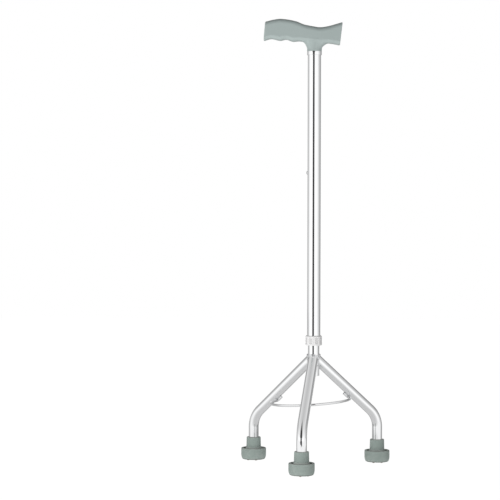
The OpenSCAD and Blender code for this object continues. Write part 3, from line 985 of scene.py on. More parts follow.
def bead_nodes(graph: Graph, given: Given) -> Output:
    """Sweeps a rippled weld bead along the edges it is given.

    Args:
        graph: the tree's nodes.
        given: its inputs.

    Returns:
        The bead.
    """
    drift_scale, drift_share = 0.7, 0.8
    path = graph.add("GeometryNodeMeshToCurve", {"Mesh": given["Geometry"]}).outputs[0]
    path = resampled(graph, path, given["Steps"])
    along = graph.add("GeometryNodeSplineParameter").outputs["Factor"]
    turns = graph.math("MULTIPLY", along, graph.math("MULTIPLY", given["Ripples"], pi))
    wave = graph.math("ABSOLUTE", graph.math("SINE", turns))
    place = graph.math("MULTIPLY", along, given["Ripples"])
    drift = graph.add("ShaderNodeTexNoise", {"W": place, "Scale": drift_scale}, noise_dimensions="1D")
    height = graph.math("ADD", wave, graph.math("MULTIPLY", drift.outputs[0], drift_share))
    swell = graph.math("MULTIPLY_ADD", height, given["Ripple Depth"], 1.0)
    return swept(graph, path, given["Bead Radius"], sides=14, Scale=swell)


WELD_BEAD = GeometryTree(
    "weld_bead", {"Bead Radius": 1.5 * MM, "Ripples": 20, "Ripple Depth": 0.15, "Steps": 160}, bead_nodes)


def wire_nodes(graph: Graph, given: Given) -> Output:
    """Bends a round wire along the edges it is given, with its bends rounded.

    Args:
        graph: the tree's nodes.
        given: its inputs.

    Returns:
        The wire.
    """
    path = graph.add("GeometryNodeMeshToCurve", {"Mesh": given["Geometry"]}).outputs[0]
    bends = {"Curve": path, "Radius": given["Bend Radius"], "Count": 6, "Limit Radius": True}
    path = graph.add("GeometryNodeFilletCurve", bends, mode="POLY").outputs[0]
    return swept(graph, resampled(graph, path, given["Steps"]), given["Wire Radius"], sides=28)


BENT_WIRE = GeometryTree(
    "bent_wire", {"Wire Radius": 2 * MM, "Bend Radius": 4 * MM, "Steps": 240}, wire_nodes)


def stud_ring_nodes(graph: Graph, given: Given) -> Output:
    """Repeats one stud at even places round a sole.

    Args:
        graph: the tree's nodes.
        given: its inputs.

    Returns:
        The studs.
    """
    ring = {"Vertices": given["Count"], "Radius": given["Ring Radius"]}
    places = graph.add("GeometryNodeMeshCircle", ring)
    turn = graph.add("ShaderNodeCombineXYZ", {"Z": given["Turn"]}).outputs[0]
    move = {"Geometry": places.outputs[0], "Translation": given["Middle"], "Rotation": turn}
    placed = graph.add("GeometryNodeTransform", move).outputs[0]
    repeat = {"Points": placed, "Instance": given["Geometry"]}
    return graph.add("GeometryNodeInstanceOnPoints", repeat).outputs[0]


STUD_RING = GeometryTree(
    "stud_ring", {"Count": 5, "Ring Radius": 11.7 * MM, "Turn": 0.0, "Middle": (0.0, 0.0, 0.0)},
    stud_ring_nodes)


def grip_nodes(graph: Graph, given: Given) -> Output:
    """Presses a ring of soft-edged finger grips into the outer wall of a collar, and marks how
    far each point is pressed. The mark sets where the collar's material paints shade in the grips.

    Args:
        graph: the tree's nodes.
        given: its inputs.

    Returns:
        The collar with its grips.
    """
    here = graph.add("GeometryNodeInputPosition").outputs[0]
    parts = graph.parts(graph.vector("SUBTRACT", here, given["Middle"]))
    flat = graph.add("ShaderNodeCombineXYZ", {"X": parts["X"], "Y": parts["Y"]}).outputs[0]
    radius = graph.vector("LENGTH", flat, out=1)
    turn = graph.math("DIVIDE", graph.math("ARCTAN2", parts["Y"], parts["X"]), FULL_TURN)
    share = graph.math("SUBTRACT", graph.math("FRACT", graph.math("MULTIPLY", turn, given["Grips"])), 0.5)
    pitch = graph.math("DIVIDE", graph.math("MULTIPLY", radius, FULL_TURN), given["Grips"])
    across = graph.math("ABSOLUTE", graph.math("MULTIPLY", share, pitch))
    above = graph.math("ABSOLUTE", parts["Z"])
    press = graph.math("GREATER_THAN", radius, given["Wall Radius"])
    for distance, half in ((across, given["Half Width"]), (above, given["Half Height"])):
        within = graph.math("SUBTRACT", half, distance)
        press = graph.math("MULTIPLY", press, graph.math("DIVIDE", within, given["Soft Edge"], clamp=True))
    eased = graph.step(press, 0.0, 1.0)
    push = graph.add("ShaderNodeVectorMath", {0: graph.vector("NORMALIZE", flat)}, operation="SCALE")
    inwards = graph.math("MULTIPLY", given["Depth"], -1.0)
    graph.feed(push.inputs["Scale"], graph.math("MULTIPLY", eased, inwards))
    # the mark is what the material paints shade by
    mark = {"Geometry": given["Geometry"], "Name": "pressed", "Value": eased}
    marked = graph.add("GeometryNodeStoreNamedAttribute", mark).outputs[0]
    return graph.add("GeometryNodeSetPosition", {"Geometry": marked, "Offset": push.outputs[0]}).outputs[0]


PRESSED_GRIPS = GeometryTree(
    "pressed_grips",
    {"Middle": (0.0, 0.0, 0.0), "Grips": 8, "Half Width": 2.7 * MM, "Half Height": 6.3 * MM,
     "Depth": 0.6 * MM, "Soft Edge": 0.7 * MM, "Wall Radius": 13 * MM},
    grip_nodes)


def cut_away(piece: bpy.types.Object, cutter: bpy.types.Object) -> None:
    """Cuts one piece out of another and removes the cutter.

    Args:
        piece: the piece that stays.
        cutter: the closed piece that is cut out of it.
    """
    modifier = piece.modifiers.new("cut", "BOOLEAN")
    modifier.operation, modifier.solver, modifier.object = "DIFFERENCE", "EXACT", cutter
    settle(piece)
    bpy.data.objects.remove(cutter)
    piece.data.shade_smooth()
    piece.data.set_sharp_from_angle(angle=SHARP_ANGLE)


def joined(name: str, pieces: Sequence[bpy.types.Object]) -> bpy.types.Object:
    """Joins pieces that wear the same finish.

    Args:
        name: the name of the whole.
        pieces: the pieces, which are removed.

    Returns:
        The whole.
    """
    sketch = bmesh.new()
    for piece in pieces:
        sketch.from_mesh(piece.data)
    mesh = bpy.data.meshes.new(name)
    sketch.to_mesh(mesh)
    sketch.free()
    mesh.materials.append(pieces[0].data.materials[0])
    for piece in pieces:
        bpy.data.objects.remove(piece)
    return in_scene(name, mesh)


@dataclass(frozen=True)
class Bead:
    """The size and the ripples of a weld bead."""

    radius: float
    ripples: int
    ripple_depth: float
    steps_in_ripple: int = 8

    def lay(self, name: str, line: Sequence[Vector], closed: bool = False) -> bpy.types.Object:
        """Lays the bead along a line.

        Args:
            name: its name.
            line: the corners of the line.
            closed: whether the last corner is joined to the first.

        Returns:
            The bead.
        """
        bead = edge_path(name, line, closed)
        WELD_BEAD.apply(bead, PLATED_WELD, {
            "Bead Radius": self.radius, "Ripples": self.ripples, "Ripple Depth": self.ripple_depth,
            "Steps": self.steps_in_ripple * self.ripples})
        return bead


# The cane's sub-assemblies


def middle_of(node: str) -> Vector:
    """Returns the middle of a node's box."""
    low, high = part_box(node)
    return (low + high) / 2


def half_width(node: str) -> float:
    """Returns half of a node's box along X."""
    low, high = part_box(node)
    return (high.x - low.x) / 2


AXIS = Vector((middle_of("mast_tube").x, middle_of("mast_tube").y, 0.0))


def on_axis(height: float) -> Vector:
    """Returns the point of the shafts' axis at a height."""
    return Vector((AXIS.x, AXIS.y, height))


def fit(piece: bpy.types.Object, body: str, finish: Finish, *nodes: str) -> None:
    """Puts a piece on its body and reports it.

    Args:
        piece: the finished piece.
        body: the body it moves with.
        finish: not used.
        nodes: the nodes that it stands for.
    """
    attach(piece, body)
    if nodes:
        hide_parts(*nodes)
    log.info("%s rides on %s: %d faces", piece.name, body, len(piece.data.polygons))


def dress(node: str, finish: Finish) -> None:
    """Gives a node that is shown as it is its material.

    Args:
        node: the node's name.
        finish: the finish it wears.
    """
    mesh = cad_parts[node].data
    mesh.materials.clear()
    mesh.materials.append(finish.material())
    log.info("%s wears %s", node, finish.name)


@dataclass
class Mast:
    """The outer shaft with its row of holes and the hole of the handle's screw."""

    wall: float = 1.2 * MM
    hole_turn: float = radians(160)
    hole_pitch: float = 19 * MM
    hole_count: int = 13
    hole_radius: float = 3.75 * MM
    screw_turn: float = radians(90)
    screw_hole_radius: float = 1.65 * MM
    screw_over_handle_foot: float = 20 * MM

    def holes(self) -> list[Hole]:
        """Lays out the row of holes and the screw's hole at the top.

        Returns:
            The holes.
        """
        top = middle_of("snap_button").z
        heights = [top - k * self.hole_pitch for k in range(self.hole_count)]
        row = [Hole(self.hole_turn, height, self.hole_radius) for height in heights]
        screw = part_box("handle")[0].z + self.screw_over_handle_foot
        return [*row, Hole(self.screw_turn, screw, self.screw_hole_radius)]

    def build(self) -> None:
        """Builds and fits the shaft."""
        low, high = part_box("mast_tube")
        tube = HoledTube(AXIS, half_width("mast_tube"), self.wall, low.z, high.z, self.holes())
        fit(tube.build().piece("mast_shaft", CHROME), "mast", CHROME, "mast_tube")


@dataclass
class Stem:
    """The inner shaft with the button that stands in the mast's highest hole, and what it holds."""

    hole_turn: float
    wall: float = 1.5 * MM
    edge: float = 0.4 * MM
    button_radius: float = 3.5 * MM
    button_hole_radius: float = 3.75 * MM
    button_dome: float = 2.2 * MM
    button_proud: float = 2.6 * MM
    button_sides: int = 64
    dome_steps: int = 16
    flange_over: float = 1 * MM
    flange_thick: float = 0.6 * MM
    flange_round: float = 0.15 * MM
    flange_gap: float = 0.1 * MM
    rivet_radius: float = 1.4 * MM
    rivet_length: float = 1.1 * MM
    rivet_round: float = 0.4 * MM

    def build(self) -> None:
        """Builds and fits the shaft and the button, and dresses the spring and the guide."""
        low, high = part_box("stem_tube")
        hole = Hole(self.hole_turn, middle_of("snap_button").z, self.button_hole_radius)
        tube = HoledTube(AXIS, half_width("stem_tube"), self.wall, low.z, high.z, [hole], self.edge)
        fit(tube.build().piece("stem_shaft", CHROME), "base", CHROME, "stem_tube")
        self.build_button()
        dress("button_spring", BLUED_STEEL)
        dress("stem_guide", BLACK_PLASTIC)

    def build_button(self) -> None:
        """Builds and fits the button, turned about its own axis and laid towards the holes."""
        flange = self.button_radius + self.flange_over
        face = sqrt((half_width("stem_tube") - self.wall) ** 2 - flange ** 2) - self.flange_gap
        foot = face - self.flange_thick
        end = foot - self.rivet_length
        outline = rounded([
            Corner(0.0, end), Corner(self.rivet_radius, end, self.rivet_round),
            Corner(self.rivet_radius, foot), Corner(flange, foot, self.flange_round),
            Corner(flange, face, self.flange_round), Corner(self.button_radius, face),
            *self.dome(half_width("mast_tube") + self.button_proud),
        ])
        laid = Matrix.Rotation(self.hole_turn, 4, "Z") @ Matrix.Rotation(radians(90), 4, "Y")
        place = Matrix.Translation(on_axis(middle_of("snap_button").z)) @ laid
        button = revolved(outline, self.button_sides).piece("height_button", BRIGHT_STEEL, place)
        fit(button, "button", BRIGHT_STEEL, "snap_button")

    def dome(self, tip: float) -> list[Corner]:
        """Rounds the button's end to a sphere.

        Args:
            tip: the distance of its tip from the shaft's axis.

        Returns:
            The corners from its shoulder to its tip.
        """
        sphere = (self.button_radius ** 2 + self.button_dome ** 2) / (2 * self.button_dome)
        half = asin(self.button_radius / sphere)
        turns = [half * (1 - k / self.dome_steps) for k in range(self.dome_steps + 1)]
        return [Corner(sphere * sin(a), tip - sphere + sphere * cos(a)) for a in turns]


@dataclass
class Collar:
    """The locking collar with its pressed finger grips, and the bush inside it."""

    wall: float = 1.3 * MM
    lip: float = 1.2 * MM
    chamfer: float = 1.3 * MM
    gap: float = 0.25 * MM
    bush_finger: float = 1.5 * MM
    bush_flare: float = 0.6 * MM
    shoulder_over_end: float = 2.8 * MM
    side_round: float = 0.7 * MM
    rim_round: float = 0.5 * MM
    mouth_round: float = 0.35 * MM
    lip_round: float = 0.2 * MM
    bore_round: float = 0.3 * MM
    sides: int = 256
    wall_rows: int = 64
    grips: int = 8
    grip_width: float = 5.4 * MM
    grip_margin: float = 2.6 * MM
    grip_depth: float = 0.6 * MM
    grip_edge: float = 0.5 * MM

    def build(self) -> None:
        """Builds and fits the collar, and dresses the bush."""
        low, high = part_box("locking_collar")
        outer, stem, mast = (half_width(node) for node in ("locking_collar", "stem_tube", "mast_tube"))
        low_mouth, high_mouth, bore = stem + 3 * self.gap, mast + self.gap, outer - self.wall
        finger = stem + 2 * self.gap + self.bush_finger
        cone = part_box("mast_tube")[0].z - self.shoulder_over_end
        low_lip, high_lip = low.z + self.lip, high.z - self.lip
        low_edge, high_edge = low.z + self.chamfer, high.z - self.chamfer
        outline = rounded([
            Corner(low_mouth, low_lip, self.lip_round), Corner(low_mouth, low.z, self.mouth_round),
            Corner(outer - self.chamfer, low.z, self.rim_round), Corner(outer, low_edge, self.side_round),
            Corner(outer, high_edge, self.side_round), Corner(outer - self.chamfer, high.z, self.rim_round),
            Corner(high_mouth, high.z, self.mouth_round), Corner(high_mouth, high_lip, self.lip_round),
            Corner(bore, high_lip, self.bore_round), Corner(bore, cone, self.lip_round),
            Corner(finger + self.bush_flare, cone), Corner(finger, low_lip),
        ])
        rows = [(outer, low_edge + (high_edge - low_edge) * k / self.wall_rows)
                for k in range(1, self.wall_rows)]
        draft = revolved(self.with_rows(outline, rows), self.sides)
        piece = draft.piece("locking_nut", FROSTED_PLASTIC, Matrix.Translation(AXIS))
        PRESSED_GRIPS.apply(piece, FROSTED_PLASTIC, {
            "Middle": on_axis((low.z + high.z) / 2), "Grips": self.grips, "Half Width": self.grip_width / 2,
            "Half Height": (high.z - low.z) / 2 - self.grip_margin, "Depth": self.grip_depth,
            "Soft Edge": self.grip_edge, "Wall Radius": outer - self.wall / 3})
        fit(piece, "collar", FROSTED_PLASTIC, "locking_collar")
        dress("collet_bush", PALE_PLASTIC)

    def with_rows(self, outline: Outline, rows: Outline) -> Outline:
        """Puts rows of points into the straight outer side of an outline.

        Args:
            outline: the outline.
            rows: the points, upwards.

        Returns:
            The outline with the rows that lie between its rounded corners.
        """
        on_side = [i for i, (x, _) in enumerate(outline) if abs(x - rows[0][0]) < SAME_PLACE]
        first, last = on_side[0], on_side[-1]
        between = [point for point in rows if outline[first][1] < point[1] < outline[last][1]]
        return [*outline[:first + 1], *between, *outline[last:]]


@dataclass
class Leg:
    """One leg: a tube that slopes from the stem, bends and stands upright in its foot."""

    side: str
    outer: float = 8.5 * MM
    wall: float = 1.5 * MM
    slope: float = radians(42)
    bend: float = 40 * MM
    hub_over_sole: float = 182 * MM
    stem_gap: float = 0.15 * MM
    sides: int = 72
    first_ring: float = 1 * MM
    slope_steps: int = 12
    bend_steps: int = 28
    foot_steps: int = 4
    seam_steps: int = 96
    seam_off: float = 0.45 * MM

    def __post_init__(self) -> None:
        """Takes the leg's reach and direction from its foot."""
        foot = middle_of(f"{self.side}_foot") - AXIS
        self.reach = hypot(foot.x, foot.y)
        self.turn = atan2(foot.y, foot.x)
        self.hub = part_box(f"{self.side}_foot")[0].z + self.hub_over_sole
        self.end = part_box(f"{self.side}_leg")[0].z
        self.setback = self.bend * tan((pi / 2 - self.slope) / 2)
        self.corner = self.hub - self.reach * tan(self.slope)

    def on_ring(self, out: float, height: float, fall: float, radius: float, aim: float) -> Vector:
        """Finds a point round the tube.

        Args:
            out: distance of the centre-line from the stem's axis.
            height: height of the centre-line.
            fall: how far the centre-line falls below the horizontal there.
            radius: the tube's outer or inner radius.
            aim: direction round the centre-line, from its upper or outer side.

        Returns:
            The point in the frame.
        """
        rise, across = radius * cos(aim), -radius * sin(aim)
        away, turn = out + rise * sin(fall), self.turn
        return AXIS + Vector((
            away * cos(turn) - across * sin(turn), away * sin(turn) + across * cos(turn),
            height + rise * cos(fall)))

    def on_slope(self, run: float, radius: float, aim: float) -> Vector:
        """Returns a point round the slope, at a run along it from the stem's axis."""
        return self.on_ring(run * cos(self.slope), self.hub - run * sin(self.slope), self.slope, radius, aim)

    def cope(self, aim: float, radius: float, turns: Span) -> float:
        """Finds where the wall starts along the slope: where it meets the stem, or the plane that
        it shares with the leg on that side.

        Args:
            aim: direction round the centre-line.
            radius: the tube's outer or inner radius.
            turns: the angles to the next leg on either side.

        Returns:
            The run along the slope.
        """
        across = -radius * sin(aim)
        rise = radius * cos(aim)
        stem = half_width("stem_tube") + self.stem_gap
        half = turns[0] / 2 if across > 0 else turns[1] / 2
        clear = max(sqrt(stem ** 2 - across ** 2), self.stem_gap + abs(across) / tan(half))
        return (clear - rise * sin(self.slope)) / cos(self.slope)

    def stations(self, first: float) -> list[tuple[float, float, float, float]]:
        """Lays out the centre-line below the cope.

        Args:
            first: the run along the slope where it starts.

        Returns:
            Distance out, height, fall and length so far at each ring.
        """
        slope_length = self.reach / cos(self.slope) - self.setback
        turn, top = pi / 2 - self.slope, self.corner - self.setback
        made = []
        for k in range(self.slope_steps + 1):
            run = first + (slope_length - first) * k / self.slope_steps
            made.append((run * cos(self.slope), self.hub - run * sin(self.slope), self.slope, run))
        for k in range(1, self.bend_steps + 1):
            fall = self.slope + turn * k / self.bend_steps
            out, height = self.reach - self.bend * (1 - sin(fall)), top + self.bend * cos(fall)
            made.append((out, height, fall, slope_length + self.bend * (fall - self.slope)))
        for k in range(1, self.foot_steps + 1):
            height = top + (self.end - top) * k / self.foot_steps
            made.append((self.reach, height, pi / 2, slope_length + self.bend * turn + top - height))
        return made

    def build(self, turns: Span) -> None:
        """Builds and fits the tube.

        Args:
            turns: the angles to the next leg on either side.
        """
        draft = MeshDraft()
        aims = [FULL_TURN * k / self.sides for k in range(self.sides)]
        walls = []
        for radius in (self.outer, self.outer - self.wall):
            starts = [self.cope(aim, radius, turns) for aim in aims]
            rings = [draft.ring([self.on_slope(start, radius, aim) for start, aim in zip(starts, aims)],
                                [polar(radius, aim, start) for start, aim in zip(starts, aims)])]
            for *centre, run in self.stations(max(starts) + self.first_ring):
                rings.append(draft.ring([self.on_ring(*centre, radius, aim) for aim in aims],
                                        [polar(radius, aim, run) for aim in aims]))
            walls.append(rings)
        draft.chain([*walls[0], *walls[1][::-1]], around=True)
        fit(draft.piece(f"{self.side}_leg_tube", CHROME), "base", CHROME, f"{self.side}_leg")

    def seam(self, turns: Span) -> list[Vector]:
        """Follows the line where the tube meets the stem and its neighbours, a little outside.

        Args:
            turns: the angles to the next leg on either side.

        Returns:
            The points of the line.
        """
        off = self.seam_off
        aims = [FULL_TURN * k / self.seam_steps for k in range(self.seam_steps)]
        return [self.on_slope(self.cope(aim, self.outer, turns) + off, self.outer + off, aim) for aim in aims]


@dataclass
class LegSet:
    """The three legs with the weld beads that hold them on the stem."""

    sides: tuple[str, ...] = ("front", "left", "right")
    bead: Bead = Bead(1.25 * MM, 26, 0.16)
    legs: list[Leg] = field(default_factory=list)

    def __post_init__(self) -> None:
        """Makes the legs."""
        self.legs = [Leg(side) for side in self.sides]

    def turns_beside(self, leg: Leg) -> Span:
        """Returns the angles from a leg to the next ones, counterclockwise and clockwise."""
        others = [other.turn - leg.turn for other in self.legs if other is not leg]
        return min(turn % FULL_TURN for turn in others), min(-turn % FULL_TURN for turn in others)

    def build(self) -> None:
        """Builds and fits the legs and joins their beads into one piece."""
        beads = []
        for leg in self.legs:
            turns = self.turns_beside(leg)
            leg.build(turns)
            beads.append(self.bead.lay(f"{leg.side}_hub_bead", leg.seam(turns), closed=True))
        fit(joined("hub_beads", beads), "base", PLATED_WELD, "hub_weld")


@dataclass
class Brace:
    """The wire that ties the legs together under their slopes, with the beads that hold it.

    The beads' places are in multiples of the wire's radius, and along a tail in shares of it.
    """

    legs: list[Leg]
    wire: float = 2 * MM
    radius: float = 67 * MM
    shift: float = 5 * MM
    gap: float = 0.3 * MM
    tail: float = 10 * MM
    tail_bend: float = 3.2 * MM
    arc_steps: int = 72
    wire_steps: int = 260
    bead: Bead = Bead(0.8 * MM, 7, 0.2)
    bead_towards: float = 0.87
    bead_beside: float = 0.85
    bead_along_arc: float = 1.3
    bead_along_tail: tuple[float, ...] = (0.3, 0.5, 0.7, 0.95)

    def centre_angle(self, leg: Leg) -> float:
        """Returns the angle about the arc's own centre where it passes under a leg."""
        return leg.turn - asin(self.shift * sin(leg.turn) / self.radius)

    def on_arc(self, angle: float) -> Vector:
        """Finds a point of the arc in its tilted plane.

        Args:
            angle: its angle about the arc's own centre.

        Returns:
            The point.
        """
        leg = self.legs[0]
        under = leg.outer + self.wire + self.gap
        height = leg.hub - self.radius * tan(leg.slope) - under / cos(leg.slope)
        tilt = atan(tan(leg.slope) * self.shift / self.radius)
        flat = polar(self.radius, angle, 0.0)
        return AXIS + Vector((-self.shift, 0.0, height)) + Matrix.Rotation(-tilt, 3, "Y") @ flat

    def up_leg(self, leg: Leg) -> Vector:
        """Returns the direction up a leg's slope, towards the stem."""
        return polar(-cos(leg.slope), leg.turn, sin(leg.slope))

    def across(self, leg: Leg) -> Vector:
        """Returns the level direction across a leg."""
        return Vector((-sin(leg.turn), cos(leg.turn), 0.0))

    def towards(self, leg: Leg) -> Vector:
        """Returns the direction from the wire to a leg's centre-line, square to the leg."""
        return self.up_leg(leg).cross(self.across(leg)) * -1

    def ends(self) -> list[tuple[Leg, float]]:
        """Returns the legs that the arc ends under, each with the angle of its end."""
        _, left, right = self.legs
        return [(left, self.centre_angle(left) - FULL_TURN), (right, self.centre_angle(right))]

    def path(self) -> list[Vector]:
        """Follows the wire: a tail, the arc round the front and the other tail.

        Returns:
            The wire's corners.
        """
        (left, start), (right, end) = self.ends()
        arc = [self.on_arc(start + (end - start) * k / self.arc_steps) for k in range(self.arc_steps + 1)]
        return [arc[0] + self.up_leg(left) * self.tail, *arc, arc[-1] + self.up_leg(right) * self.tail]

    def build(self) -> None:
        """Builds and fits the wire and its beads."""
        wire = edge_path("brace_bar", self.path())
        BENT_WIRE.apply(wire, CHROME, {
            "Wire Radius": self.wire, "Bend Radius": self.tail_bend, "Steps": self.wire_steps})
        store_straight(wire.data, [point.co for point in wire.data.vertices])
        fit(wire, "base", CHROME, "brace_wire")
        beads = [self.bead.lay(name, line) for name, line in self.bead_lines().items()]
        fit(joined("brace_beads", beads), "base", PLATED_WELD, "brace_welds")

    def bead_lines(self) -> dict[str, list[Vector]]:
        """Lays out the beads: beside each tail, and along both sides of the arc under the front
        leg.

        Returns:
            The corners of each bead's line, by its name.
        """
        lines = {}
        for leg, angle in self.ends():
            up = self.up_leg(leg)
            start = self.on_arc(angle) + self.towards(leg) * self.wire * self.bead_towards
            for way in (-1, 1):
                first = start + self.across(leg) * way * self.wire * self.bead_beside
                lines[f"{leg.side}_bead_{way + 1}"] = [
                    first + up * self.tail * share for share in self.bead_along_tail]
        front = self.legs[0]
        angle = self.centre_angle(front)
        spread = asin(self.bead_along_arc * self.wire / self.radius)
        spots = [self.on_arc(angle + spread * share) for share in (-1, -0.5, 0, 0.5, 1)]
        for way in (-1, 1):
            offset = self.up_leg(front) * way * self.wire * self.bead_beside
            offset += self.towards(front) * self.wire * self.bead_towards
            lines[f"front_bead_{way + 1}"] = [spot + offset for spot in spots]
        return lines


@dataclass
class Foot:
    """A rubber foot with a washer under the leg and a ring of studs in its sole."""

    leg: Leg
    sides: int = 128
    neck_wall: float = 3.4 * MM
    neck_taper: float = 0.45 * MM
    neck_top_round: float = 1.0 * MM
    neck_root_round: float = 1.6 * MM
    groove_width: float = 4.75 * MM
    groove_depth: float = 5 * MM
    groove_floor: float = 0.7 * MM
    groove_rise: float = 6.8 * MM
    groove_rounds: Span = (0.6 * MM, 0.8 * MM)
    rim: float = 4.1 * MM
    rim_rounds: Span = (1.3 * MM, 0.9 * MM)
    flange: float = 19.2 * MM
    toe_in: float = 3.2 * MM
    toe_height: float = 9 * MM
    toe_steps: int = 12
    sole: float = 10 * MM
    sole_edge: float = 0.5 * MM
    socket_gap: float = 0.1 * MM
    socket_round: float = 0.4 * MM
    band_drop: float = 4 * MM
    band_half: float = 0.5 * MM
    band_depth: float = 0.35 * MM
    band_rounds: Span = (0.3 * MM, 0.2 * MM)
    stud_count: int = 5
    stud_sides: int = 32
    stud_ring: float = 11.7 * MM
    stud_radius: float = 2 * MM
    stud_tip: float = 0.35 * MM
    stud_barrel: float = 1.2 * MM
    stud_head: float = 3.5 * MM
    stud_root: float = 5 * MM
    stud_head_thick: float = 1 * MM
    stud_rounds: tuple[float, float, float] = (0.15 * MM, 0.25 * MM, 0.2 * MM)

    def outline(self, height: float) -> Outline:
        """Draws half of the foot's section, from its sole up.

        Args:
            height: the foot's height.

        Returns:
            The outline.
        """
        socket = self.leg.outer + self.socket_gap
        neck_top = socket + self.neck_wall
        neck_root = neck_top + self.neck_taper
        rim_inner = neck_root + self.groove_width
        outer = rim_inner + self.rim
        toe = [Corner(outer - self.toe_in * (1 - sin(a)), self.toe_height * (1 - cos(a)))
               for a in (pi / 2 * k / self.toe_steps for k in range(1, self.toe_steps + 1))]
        band, groove = self.flange - self.band_drop, self.flange - self.groove_depth
        (edge, floor), (outside, inside) = self.band_rounds, self.rim_rounds
        return rounded([
            Corner(0.0, 0.0), Corner(outer - self.toe_in, 0.0, self.sole_edge), *toe,
            Corner(outer, band - self.band_half, edge), Corner(outer - self.band_depth, band, floor),
            Corner(outer, band + self.band_half, edge), Corner(outer, self.flange, outside),
            Corner(rim_inner, self.flange, inside), Corner(rim_inner, groove, self.groove_rounds[0]),
            Corner(rim_inner - self.groove_floor, groove, self.groove_rounds[1]),
            Corner(neck_root, groove + self.groove_rise, self.neck_root_round),
            Corner(neck_top, height, self.neck_top_round), Corner(socket, height, self.socket_round),
            Corner(socket, self.sole), Corner(0.0, self.sole),
        ])

    def stud(self, proud: float) -> MeshDraft:
        """Turns one stud: a pointed end, a shank and the head that the rubber holds.

        Args:
            proud: how far it stands out of the sole.

        Returns:
            The stud's draft.
        """
        tip, shoulder, head = self.stud_rounds
        top = self.stud_root + self.stud_head_thick
        return revolved(rounded([
            Corner(0.0, -proud), Corner(self.stud_tip, -proud, tip),
            Corner(self.stud_radius, -self.stud_barrel, shoulder), Corner(self.stud_radius, self.stud_root),
            Corner(self.stud_head, self.stud_root, head), Corner(self.stud_head, top, head), Corner(0.0, top),
        ], steps=3), self.stud_sides)

    def build(self) -> None:
        """Builds and fits the rubber and the studs, and dresses the washer."""
        side = self.leg.side
        low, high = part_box(f"{side}_foot")
        middle = middle_of(f"{side}_foot")
        place = Vector((middle.x, middle.y, low.z))
        rubber = revolved(self.outline(high.z - low.z), self.sides)
        rubber = rubber.piece(f"{side}_rubber_foot", GREEN_RUBBER, Matrix.Translation(place))
        fit(rubber, "base", GREEN_RUBBER, f"{side}_foot")
        studs = self.stud(low.z).piece(f"{side}_studs", STUD_STEEL)
        STUD_RING.apply(studs, STUD_STEEL, {
            "Count": self.stud_count, "Ring Radius": self.stud_ring, "Turn": self.leg.turn, "Middle": place})
        fit(studs, "base", STUD_STEEL, f"{side}_foot_studs")
        dress(f"{side}_foot_washer", ZINC_STEEL)


